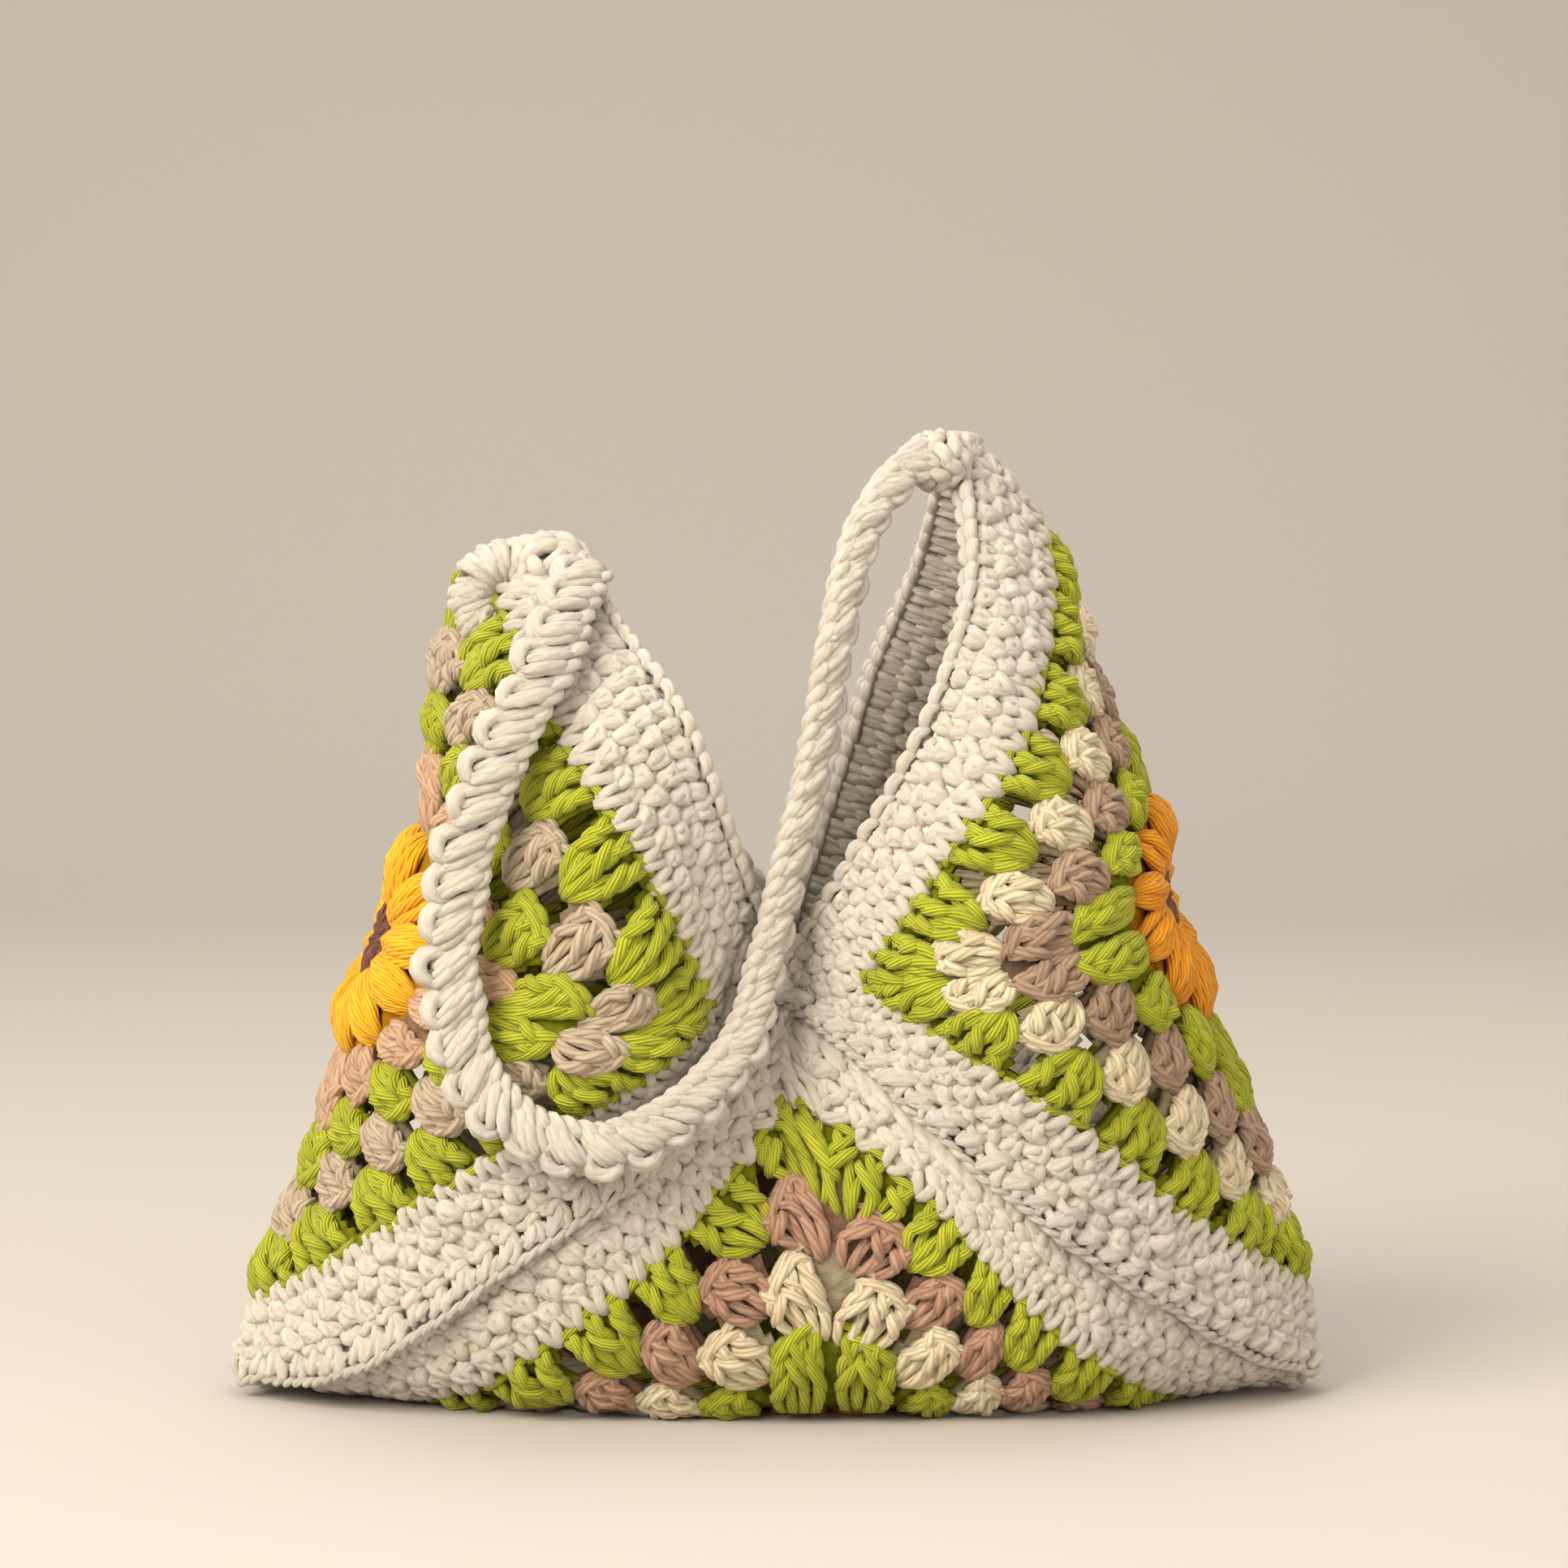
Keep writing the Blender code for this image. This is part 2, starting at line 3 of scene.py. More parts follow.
import bpy
import numpy as np
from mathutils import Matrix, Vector


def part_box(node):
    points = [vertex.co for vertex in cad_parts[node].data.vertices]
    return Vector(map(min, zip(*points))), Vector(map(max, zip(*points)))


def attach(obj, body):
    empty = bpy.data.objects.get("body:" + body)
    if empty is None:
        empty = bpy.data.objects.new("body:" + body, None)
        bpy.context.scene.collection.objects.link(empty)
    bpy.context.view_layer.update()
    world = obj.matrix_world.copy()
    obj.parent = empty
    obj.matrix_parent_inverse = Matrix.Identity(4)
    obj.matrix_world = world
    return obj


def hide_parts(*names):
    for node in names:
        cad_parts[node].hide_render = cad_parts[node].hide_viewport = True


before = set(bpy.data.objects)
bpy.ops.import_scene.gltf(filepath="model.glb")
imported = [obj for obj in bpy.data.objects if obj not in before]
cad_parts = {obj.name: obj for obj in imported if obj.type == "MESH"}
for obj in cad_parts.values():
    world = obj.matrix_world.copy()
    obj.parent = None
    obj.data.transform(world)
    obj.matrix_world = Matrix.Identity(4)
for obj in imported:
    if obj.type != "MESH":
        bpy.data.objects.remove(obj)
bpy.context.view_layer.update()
print("frame loaded")

# The bag's shape, from the same tables as the CAD part, in millimetres.
leftSpine = (
    (0, -37, -12, 156.5),
    (0.125, -53.5, -2, 152.5),
    (0.25, -61.5, 0, 130),
    (0.375, -62.5, 0, 111),
    (0.5, -70, 0, 90),
    (0.625, -78, 0, 68),
    (0.75, -84, 0, 46),
    (0.875, -94, 0, 23.5),
    (1, -97.5, 0, 4.5),
)
baseSpine = (
    (0, -97.5, 0, 4.5),
    (0.125, -72, 0, 2),
    (0.5, 7, 0, 2),
    (0.875, 76, 0, 2),
    (1, 97.5, 0, 4.5),
)
rightSpine = (
    (0, 97.5, 0, 4.5),
    (0.125, 95.5, 0, 23),
    (0.25, 89, 0, 43),
    (0.375, 80, 0, 66),
    (0.5, 70, 0, 91),
    (0.625, 67, 0, 110),
    (0.75, 57, 0, 130),
    (0.875, 50, 0, 154),
    (1, 33, -3, 176.5),
)
leftSeam = (
    (0, -97.5, -2.5, 4.5),
    (0.25, -73, -23, 12),
    (0.5, -46, -38, 33),
    (0.75, -19, -38, 54),
    (0.9, -6, -27, 68),
    (1, 0, -16, 77),
)
rightSeam = (
    (0, 97.5, -2.5, 4.5),
    (0.25, 76, -24, 18),
    (0.5, 49, -40, 37),
    (0.75, 23, -36, 61),
    (0.9, 9, -25, 72),
    (1, 0, -16, 77),
)
leftFrontRim = (
    (0, -35.5, -16, 154),
    (0.25, -29, -27, 142),
    (0.5, -16.5, -37, 125),
    (0.75, -8, -31, 101),
    (1, 0, -16, 77),
)
leftBackRim = (
    (0, -38.5, -8, 155),
    (0.25, -36, 10, 144),
    (0.5, -26, 24, 128),
    (0.75, -15, 24, 106),
    (1, 2, 17, 84),
)
rightFrontRim = (
    (0, 33, -7, 174.5),
    (0.25, 34.5, -24, 150),
    (0.5, 27, -34, 126),
    (0.75, 13, -29, 99),
    (1, 0, -16, 77),
)
rightBackRim = (
    (0, 32, 1, 175),
    (0.25, 27, 18, 153),
    (0.5, 18, 28, 131),
    (0.75, 10, 27, 107),
    (1, 2, 17, 84),
)
# Where the cloth bellies out between the fold and the edge: along, near, out, far, out, drop.
leftFolds = (
    (-1, 0.25, 0, 0.65, 0, 0),
    (-0.75, 0.25, 6, 0.62, 5, 0),
    (-0.5, 0.2, 14, 0.62, 16, 0),
    (-0.25, 0.18, 24, 0.6, 28, -2),
    (0, 0.18, 31, 0.62, 37, -8),
    (0.25, 0.17, 22, 0.6, 22, -3),
    (0.5, 0.2, 11, 0.6, 11, 0),
    (0.75, 0.25, 5, 0.6, 4, 0),
    (1, 0.33, 0, 0.67, 0, 0),
)
baseFolds = (
    (-1, 0.33, 0, 0.67, 0, 0),
    (-0.75, 0.1, 8, 0.4, 9, 0),
    (-0.5, 0.05, 18, 0.36, 19, 0),
    (-0.25, 0.045, 26, 0.44, 21, 0),
    (0, 0.045, 29.5, 0.5, 27, 0),
    (0.25, 0.045, 26, 0.44, 21, 0),
    (0.5, 0.05, 18, 0.36, 19, 0),
    (0.75, 0.1, 8, 0.4, 9, 0),
    (1, 0.33, 0, 0.67, 0, 0),
)
rightFolds = (
    (-1, 0.33, 0, 0.67, 0, 0),
    (-0.75, 0.25, 5, 0.6, 5, 0),
    (-0.5, 0.2, 10, 0.6, 10, 0),
    (-0.25, 0.18, 22, 0.6, 24, 0),
    (0, 0.14, 32, 0.53, 35, -2),
    (0.25, 0.15, 24, 0.55, 26, 0),
    (0.5, 0.15, 15, 0.58, 14, 0),
    (0.75, 0.2, 6, 0.6, 5, 0),
    (1, 0.25, 0, 0.65, 0, 0),
)
# The strap's middle line: share, place, and how far its face is turned, in degrees.
strapPath = (
    (0, -34, -23, 155.5, 0),
    (0.07, -41, -40.5, 139, 5),
    (0.15, -51.5, -47, 117, 10),
    (0.21, -57, -49, 99, 12),
    (0.28, -58, -51, 80.5, 10),
    (0.34, -54.5, -52, 65, 5),
    (0.4, -45, -53, 55, 0),
    (0.46, -31, -52.5, 51, 0),
    (0.52, -16.5, -48, 56.5, 10),
    (0.58, -6, -39, 68, 25),
    (0.65, -1, -32, 85, 40),
    (0.73, 4, -31, 106, 45),
    (0.81, 9, -30, 128, 45),
    (0.9, 13.5, -27, 152.5, 40),
    (0.96, 20.5, -19, 166.5, 30),
    (1, 30.5, -12.5, 174.5, 20),
)

square = {
    "pitch": 0.01815,  # one cluster of three stitches along a side
    "row": 0.009075,  # one coloured round
    "flower": 0.027225,  # radius of the petals
    "eye": 0.008,  # radius of the brown middle
    "border": 0.014,  # white rows round the coloured rounds
    "half": 0.077525,  # half a side of the whole square
}
# How the cloth leaves the fold and reaches its edge, and how high its middle lies where it rests, in mm.
clothCurve = {"leave": 1.15, "arrive": 1.1, "nearDrop": 0.6, "steps": 12, "rest": 2.0}
notchShift = (2.0, 1.0, 7.0)  # from the mirrored front notch to the back one, in mm
mm = 0.001
half = square["half"]
alongPlaces = np.linspace(-1, 1, 81)
outwardPlaces = np.linspace(0, 1, 25)


def unit(vectors):
    return vectors / np.maximum(np.linalg.norm(vectors, axis=-1, keepdims=True), 1e-12)


def between(a, b, out, into, t):
    # A cubic that leaves a along out and reaches b along into.
    return (
        a * (2 * t**3 - 3 * t**2 + 1)
        + out * (t**3 - 2 * t**2 + t)
        + b * (3 * t**2 - 2 * t**3)
        + into * (t**3 - t**2)
    )


def through(rows, share):
    # A smooth curve through a table whose first column is the share.
    table = np.array(rows, float)
    knots, values = table[:, 0], table[:, 1:]
    steps = np.diff(knots)[:, None]
    rise = np.diff(values, axis=0) / steps
    slopes = np.empty_like(values)
    slopes[0], slopes[-1] = rise[0], rise[-1]
    slopes[1:-1] = (rise[:-1] * steps[1:] + rise[1:] * steps[:-1]) / (steps[1:] + steps[:-1])
    share = np.clip(np.atleast_1d(share).astype(float), knots[0], knots[-1])
    i = np.clip(np.searchsorted(knots, share, side="right") - 1, 0, len(knots) - 2)
    t = (share[:, None] - knots[i][:, None]) / steps[i]
    return between(values[i], values[i + 1], slopes[i] * steps[i], slopes[i + 1] * steps[i], t)


def walkedAlong(line):
    return np.concatenate([[0], np.linalg.norm(np.diff(line, axis=0), axis=1).cumsum()])


def readAt(at, walked, rows):
    # The points of a line, read at places along it.
    return np.stack([np.interp(at, walked, rows[:, k]) for k in range(3)], axis=-1)


def behind(rows):
    # The back seam is the front one mirrored, with its end moved to the back notch.
    dx, dy, dz = notchShift
    return tuple((s, x + dx * s**3, -y + dy * s**3, z + dz * s**3) for s, x, y, z in rows)


def joined(first, second):
    # One edge of a square's face: the first line up to the middle of the fold, then the second one back.
    def edge(along):
        before = through(first, np.clip(along + 1, 0, 1))
        after = through(second, np.clip(1 - along, 0, 1))
        return np.where((along < 0)[:, None], before, after)

    return edge


def sectionPoints(spineRows, edgeOf, foldRows, side):
    # Even points from the fold to one edge. side is -1 for the front and 1 for the back.
    spine = through(spineRows, (alongPlaces + 1) / 2)
    edge = edgeOf(alongPlaces)
    folds = through(foldRows, alongPlaces)
    chord = edge - spine
    sideways = np.array((0.0, side, 0.0))
    drop = np.array((0.0, 0.0, 1.0)) * folds[:, 4:5]
    near = spine + chord * folds[:, :1] + sideways * folds[:, 1:2] + drop * clothCurve["nearDrop"]
    far = spine + chord * folds[:, 2:3] + sideways * folds[:, 3:4] + drop
    start = sideways * np.linalg.norm(near - spine, axis=1)[:, None] * clothCurve["leave"]
    points = [spine]
    for leg in (
        (spine, near, start, (far - spine) / 2),
        (near, far, (far - spine) / 2, (edge - near) / 2),
        (far, edge, (edge - near) / 2, (edge - far) * clothCurve["arrive"]),
    ):
        points += [between(*leg, t) for t in np.linspace(0, 1, clothCurve["steps"] + 1)[1:]]
    line = np.stack(points, axis=1)
    even = []
    for rows in line:
        walked = walkedAlong(rows)
        even.append(readAt(outwardPlaces * walked[-1], walked, rows))
    even = np.stack(even)
    even[..., 2] = np.maximum(even[..., 2], clothCurve["rest"])  # it lies flat where it rests
    return even / 1000


def clothOf(spine, front, back, folds):
    return np.stack([sectionPoints(spine, front, folds, -1), sectionPoints(spine, back, folds, 1)])


def onCloth(cloth, u, v):
    # Points of the middle of the cloth for flat places in metres from the square's middle.
    u, v = u / half, v / half
    along = np.clip((u + v) / 2, -0.995, 0.995)  # short of the tips, where the faces end in a point
    across = (v - u) / 2
    share = np.clip(np.abs(across) / (1 - np.abs(along)), 0, 1)
    x = (along + 1) / 2 * (len(alongPlaces) - 1)
    y = share * (len(outwardPlaces) - 1)
    i = np.clip(x.astype(int), 0, len(alongPlaces) - 2)
    j = np.clip(y.astype(int), 0, len(outwardPlaces) - 2)
    s = (x - i)[..., None]
    t = (y - j)[..., None]
    side = np.where(across > 0, 0, 1)
    return (cloth[side, i, j] * (1 - t) + cloth[side, i, j + 1] * t) * (1 - s) + (
        cloth[side, i + 1, j] * (1 - t) + cloth[side, i + 1, j + 1] * t
    ) * s


def laid(cloth, flat):
    # Flat places (u, v, height) put on the cloth: the points and the outward normals there.
    u, v, height = flat[..., 0], flat[..., 1], flat[..., 2]
    uIn, vIn = np.clip(u, -half, half), np.clip(v, -half, half)
    step = 3 * mm
    du = onCloth(cloth, uIn + step, vIn) - onCloth(cloth, uIn - step, vIn)
    dv = onCloth(cloth, uIn, vIn + step) - onCloth(cloth, uIn, vIn - step)
    normal = unit(np.cross(du, dv))
    past = unit(du) * (u - uIn)[..., None] + unit(dv) * (v - vIn)[..., None]
    return onCloth(cloth, uIn, vIn) + past + normal * height[..., None], normal


# The strap as its CAD solid runs: its box gives the shift between the tables and the frame.
strapSize = {"wide": 0.0125, "thick": 0.0045, "end": 0.0036, "steps": 44}
strapRows = through(strapPath, np.linspace(0, 1, 160))
curve = strapRows[:, :3] / 1000
walked = walkedAlong(curve)
strapAt = np.linspace(strapSize["end"], walked[-1] - strapSize["end"], strapSize["steps"])
strapLine = readAt(strapAt, walked, curve)
strapRoll = np.radians(np.interp(strapAt, walked, strapRows[:, 3]))
strapFace = np.stack([np.sin(strapRoll), -np.cos(strapRoll), np.zeros_like(strapRoll)], axis=1)
tangent = unit(np.gradient(strapLine, axis=0))
strapLift = unit(strapFace - tangent * (strapFace * tangent).sum(axis=1)[:, None])
strapAcross = np.cross(strapLift, tangent)
edges = []
for x, y in ((-1, 0.5), (-0.8, 1), (0.8, 1), (1, 0.5), (1, -0.5), (0.8, -1), (-0.8, -1), (-1, -0.5)):
    away = strapAcross * x * strapSize["wide"] / 2
    edges.append(strapLine + away + strapLift * y * strapSize["thick"] / 2)
edges = np.concatenate(edges)
strapLow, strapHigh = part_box("strap")
shift = (np.array(strapLow) - edges.min(axis=0) + np.array(strapHigh) - edges.max(axis=0)) / 2
strapLine = strapLine + shift
strapWalked = walkedAlong(strapLine)
strapLong = np.linalg.norm(np.diff(strapLine, axis=0), axis=1).sum()
print("bag placed")

leftBackSeam, rightBackSeam = behind(leftSeam), behind(rightSeam)
cloths = {
    "left": clothOf(
        leftSpine, joined(leftFrontRim, leftSeam), joined(leftBackRim, leftBackSeam), leftFolds
    ),
    "base": clothOf(
        baseSpine, joined(leftSeam, rightSeam), joined(leftBackSeam, rightBackSeam), baseFolds
    ),
    "right": clothOf(
        rightSpine, joined(rightSeam, rightFrontRim), joined(rightBackSeam, rightBackRim), rightFolds
    ),
}
for name in cloths:
    cloths[name] = cloths[name] + shift

# The front of the base was joined a little skew: its middle leans to the right and spreads under the notch.
baseLean = {
    "slide": 0.080,
    "slideOver": 0.45,  # how far along the fold this reaches
    "widen": 0.80,
    "widenOver": 0.22,
    "outward": (0, 0.35, 0.60, 0.80, 0.92, 1),  # from the fold to the seam,
    "strength": (0, 0.45, 0.85, 1, 0.7, 0),  # how much of it there is
}


def leaning(face):
    moved = face.copy()
    places = alongPlaces
    for j, share in enumerate(outwardPlaces):
        rise = np.interp(share, baseLean["outward"], baseLean["strength"])
        slide = baseLean["slide"] * rise * np.exp(-((places / baseLean["slideOver"]) ** 2))
        slide += baseLean["widen"] * rise * places * np.exp(-((places / baseLean["widenOver"]) ** 2))
        moved[:, j] = readAt(np.clip(places + slide, -1, 1), places, face[:, j])
    return moved


cloths["base"][0] = leaning(cloths["base"][0])

# The flowers of the standing squares sit off the fold: how far forward and along it, how fast this fades
# towards the edges, and how fast towards the tips.
flowerShift = {"left": (0.068, 0.062, 2, 1.2), "right": (0.078, 0.023, 7, 1.2)}


def sliding(cloth, forward, along, edgeFade, tipFade):
    share = np.array((1.0, -1.0))[:, None, None] * outwardPlaces
    places = alongPlaces[:, None]
    amount = (1 - share**2) ** edgeFade * (1 - places**2) ** tipFade
    places, share = places + along * amount, share + forward * amount
    across = share * (1 - np.abs(places))
    return onCloth(cloth, (places - across) * half, (places + across) * half)


for name, values in flowerShift.items():
    cloths[name] = sliding(cloths[name], *values)


def setInputs(tree, node, inputs):
    # Links each input to a socket, or sets it to a value.
    for key, value in dict(inputs).items():
        if isinstance(value, bpy.types.NodeSocket):
            tree.links.new(value, node.inputs[key])
        else:
            node.inputs[key].default_value = value


def addNode(tree, kind, inputs=(), **settings):
    made = tree.nodes.new("ShaderNode" + kind)
    for key, value in settings.items():
        setattr(made, key, value)
    setInputs(tree, made, inputs)
    return made


def newMaterial(name):
    made = bpy.data.materials.new(name)
    made.use_nodes = True
    return made, made.node_tree, made.node_tree.nodes["Principled BSDF"]


yarnRelief = {
    "ridge": 0.55,  # the less, the narrower the grooves between the plies
    "deep": 0.75,  # how much painted shade lies in them
    "stretch": 2.2,  # loose fibres along the strand
    "around": 2.6,  # and round it
    "fine": 5.0,
    "light": (0.45, 1.6, 0.6),  # where their painted glint starts, how fast it grows and its most
    "patch": 160.0,  # uneven dye
    "dark": (0.55, 1.2, 0.35),  # and the same for its darker parts
    "own": 0.35,  # how much darker one strand may be than the next
    "rough": (-0.12, 0.92),  # what the ridges take off the roughness of the grooves, and that roughness
    "sheenRough": 0.45,
    "specular": 0.25,
    "bump": 0.00035,
}


def yarnGroup():
    # Ply ridges with painted shade in the grooves between them, loose fibres with painted glints, and
    # uneven dye. The map gives centimetres along a strand and turns around it.
    tree = bpy.data.node_groups.new("yarnLook", "ShaderNodeTree")
    for way, kind, names in (
        ("INPUT", "Color", ("Color", "Shade", "Glint")),
        ("INPUT", "Float", ("Plies", "Twist", "Groove", "Fibre")),
        ("OUTPUT", "Color", ("Color",)),
        ("OUTPUT", "Float", ("Height", "Roughness")),
    ):
        for name in names:
            tree.interface.new_socket(name, in_out=way, socket_type="NodeSocket" + kind)
    given = tree.nodes.new("NodeGroupInput").outputs
    out = tree.nodes.new("NodeGroupOutput")

    def calc(kind, *terms):
        return addNode(tree, "Math", enumerate(terms), operation=kind).outputs[0]

    def product(a, b):
        return calc("MULTIPLY", a, b)

    def mixed(amount, a, b):
        return addNode(tree, "Mix", {0: amount, 6: a, 7: b}, data_type="RGBA").outputs[2]

    def held(value, gain, most):
        return calc("MAXIMUM", calc("MINIMUM", product(value, gain), most), 0.0)

    strand = addNode(tree, "UVMap", uv_map="strand").outputs[0]
    along, around = addNode(tree, "SeparateXYZ", {0: strand}).outputs[:2]
    turned = product(calc("ADD", around, product(along, given["Twist"])), 2 * math.pi)
    wave = calc("COSINE", product(turned, given["Plies"]))
    ridge = calc("POWER", calc("MULTIPLY_ADD", wave, 0.5, 0.5), yarnRelief["ridge"])
    lengthwise = product(along, yarnRelief["stretch"])
    cosine = product(calc("COSINE", turned), yarnRelief["around"])
    sine = product(calc("SINE", turned), yarnRelief["around"])
    place = addNode(tree, "CombineXYZ", {0: lengthwise, 1: cosine, 2: sine}).outputs[0]
    fine = {"Vector": place, "Scale": yarnRelief["fine"], "Detail": 4.0, "Roughness": 0.65}
    fibre = addNode(tree, "TexNoise", fine).outputs["Fac"]
    place = addNode(tree, "TexCoord").outputs["Object"]
    wide = {"Vector": place, "Scale": yarnRelief["patch"], "Detail": 2.0}
    patch = addNode(tree, "TexNoise", wide).outputs["Fac"]
    tone = addNode(tree, "Attribute", attribute_name="tone").outputs["Color"]
    tone = addNode(tree, "SeparateColor", {0: tone}).outputs[0]
    # Painted shade: the grooves between the plies are darkened towards the Shade color.
    grooves = product(calc("SUBTRACT", 1.0, ridge), given["Groove"])
    body = mixed(product(grooves, yarnRelief["deep"]), given["Color"], given["Shade"])
    # Painted highlight: where the fibre noise is high, the color turns towards the lighter Glint color.
    start, gain, most = yarnRelief["light"]
    body = mixed(held(calc("SUBTRACT", fibre, start), gain, most), body, given["Glint"])
    start, gain, most = yarnRelief["dark"]
    body = mixed(held(calc("SUBTRACT", start, patch), gain, most), body, given["Shade"])
    body = mixed(product(calc("SUBTRACT", 1.0, tone), yarnRelief["own"]), body, given["Shade"])
    height = calc("ADD", product(ridge, given["Groove"]), product(fibre, given["Fibre"]))
    rough = calc("MULTIPLY_ADD", ridge, *yarnRelief["rough"])
    setInputs(tree, out, {"Color": body, "Height": height, "Roughness": rough})
    return tree


yarnLook = yarnGroup()


def yarnMaterial(name, color, shade, glint, plies, twist, groove, fibre, sheen, bump=yarnRelief["bump"]):
    made, tree, shader = newMaterial(name)
    look = addNode(tree, "Group", node_tree=yarnLook)
    setInputs(tree, look, {"Color": (*color, 1), "Shade": (*shade, 1), "Glint": (*glint, 1)})
    setInputs(tree, look, {"Plies": plies, "Twist": twist, "Groove": groove, "Fibre": fibre})
    height = {"Strength": 1.0, "Distance": bump, "Height": look.outputs["Height"]}
    setInputs(tree, shader, {
        "Base Color": look.outputs["Color"],
        "Roughness": look.outputs["Roughness"],
        "Normal": addNode(tree, "Bump", height).outputs["Normal"],
        "Sheen Weight": sheen,
        "Sheen Roughness": yarnRelief["sheenRough"],
        "Specular IOR Level": yarnRelief["specular"],
    })
    made.diffuse_color = (*color, 1)
    return made


# Color, a darker color (painted shade in the grooves, and the darker dye of patches and strands), painted
# glint of the fibres, plies, turns per cm, groove depth (which also sets how much painted shade the grooves
# get), fibre depth, sheen, and for the fuzzy white how deep its relief is.
yarnColors = {
    "lime": ((0.50, 0.525, 0.020), (0.23, 0.26, 0.005), (0.70, 0.70, 0.10), 11, 0.30, 0.8, 0.30, 0.10),
    "white": ((0.93, 0.85, 0.72), (0.80, 0.70, 0.56), (0.98, 0.93, 0.84), 4, 0.50, 0.7, 1.1, 0.45, 0.0005),
    "cream": ((0.84, 0.74, 0.52), (0.56, 0.43, 0.24), (0.93, 0.86, 0.69), 5, 0.50, 1.0, 0.55, 0.20),
    "beige": ((0.60, 0.49, 0.35), (0.36, 0.26, 0.16), (0.76, 0.65, 0.51), 5, 0.50, 1.0, 0.55, 0.20),
    "rose": ((0.56, 0.33, 0.21), (0.30, 0.15, 0.09), (0.73, 0.50, 0.37), 5, 0.50, 1.0, 0.55, 0.20),
    "taupe": ((0.48, 0.325, 0.215), (0.26, 0.16, 0.095), (0.64, 0.48, 0.34), 5, 0.50, 1.0, 0.55, 0.20),
    "peach": ((0.68, 0.44, 0.27), (0.42, 0.23, 0.12), (0.82, 0.60, 0.42), 5, 0.50, 1.0, 0.55, 0.20),
    "brown": ((0.19, 0.050, 0.022), (0.07, 0.016, 0.008), (0.34, 0.13, 0.07), 6, 0.50, 1.0, 0.45, 0.15),
    "yellow": ((0.95, 0.50, 0.006), (0.66, 0.25, 0.003), (1.00, 0.66, 0.07), 9, 0.35, 0.8, 0.30, 0.10),
    "orange": ((0.90, 0.36, 0.006), (0.50, 0.14, 0.003), (0.98, 0.54, 0.05), 9, 0.35, 0.8, 0.30, 0.10),
}
yarns = {}
for name, values in yarnColors.items():
    yarns[name] = yarnMaterial(name + "Yarn", *values)
print("yarns ready")

rand = np.random.default_rng(7)


def newLot():
    return {"points": [], "faces": [], "tones": [], "count": 0}


strandShape = {
    "press": 0.55,  # a strand's middle stays this many radii above the floor
    "tip": 0.7,  # its closed ends reach out this many radii
    "floor": 0.0002,
}


def spin(lot, points, normals, radius, sides=6, uneven=0.04):
    # Adds a strand for each row of points: a round, slightly uneven tube with closed ends.
    many, steps, _ = points.shape
    tone = rand.random(many)
    radius = np.broadcast_to(radius, (many, steps))
    points = points.copy()
    points[:, :, 2] = np.maximum(points[:, :, 2], radius * strandShape["press"])
    tangent = unit(np.gradient(points, axis=1))
    side = np.empty_like(points)
    side[:, 0] = unit(np.cross(normals[:, 0], tangent[:, 0]))
    for i in range(1, steps):
        ahead, before = tangent[:, i], side[:, i - 1]
        side[:, i] = unit(before - ahead * (before * ahead).sum(axis=1, keepdims=True))
    up = np.cross(tangent, side)
    angles = (np.arange(sides) * 2 * math.pi / sides - math.pi / 2)[:, None]
    away = side[:, :, None] * np.cos(angles) + up[:, :, None] * np.sin(angles)
    rough = rand.normal(1, uneven, (many, steps, sides))
    rings = points[:, :, None] + away * (radius[:, :, None] * rough)[..., None]
    rings[..., 2] = np.maximum(rings[..., 2], strandShape["floor"])
    first = points[:, 0] - tangent[:, 0] * radius[:, :1] * strandShape["tip"]
    last = points[:, -1] + tangent[:, -1] * radius[:, -1:] * strandShape["tip"]
    vertices = np.concatenate([rings.reshape(many, -1, 3), np.stack([first, last], axis=1)], axis=1)
    each = steps * sides + 2
    starts = lot["count"] + np.arange(many)[:, None, None] * each
    walked = np.linalg.norm(np.diff(points, axis=1), axis=2).cumsum(axis=1)
    length = np.concatenate([np.zeros((many, 1)), walked], axis=1) * 100
    length = length + (tone * 37.0 % 7.0)[:, None]  # so that no two strands look alike

    def addFaces(ring, turn, numbers):
        # The ring, turn and number of each corner. The map is centimetres along and turns around.
        places = np.empty((many, *ring.shape, 2))
        places[..., 0] = length[:, ring]
        places[..., 1] = turn / sides
        lot["faces"].append((ring.shape[1], (numbers + starts).reshape(-1), places.reshape(-1, 2)))

    i, k = np.divmod(np.arange((steps - 1) * sides)[:, None], sides)
    ring, turn = i + (0, 0, 1, 1), k + (0, 1, 1, 0)
    addFaces(ring, turn, ring * sides + turn % sides)
    k = np.arange(sides)[:, None]
    ring = np.repeat((0, steps - 1), sides)[:, None] + (0, 0, 0)
    turn = np.concatenate([k + (0.5, 1, 0), k + (0.5, 0, 1)])
    numbers = ring * sides + turn.astype(int) % sides
    numbers[:, 0] = np.repeat((each - 2, each - 1), sides)
    addFaces(ring, turn, numbers)
    lot["points"].append(vertices.reshape(-1, 3))
    lot["tones"].append(np.repeat(tone, each))
    lot["count"] += many * each


def lay(lot, cloth, places, height, radius, sides=6, uneven=0.04):
    # Strands laid on the cloth, from the flat places and the heights of their points.
    height = np.broadcast_to(height, places.shape[:-1])
    points, normals = laid(cloth, np.concatenate([places, height[..., None]], axis=-1))
    spin(lot, points, normals, radius, sides, uneven)


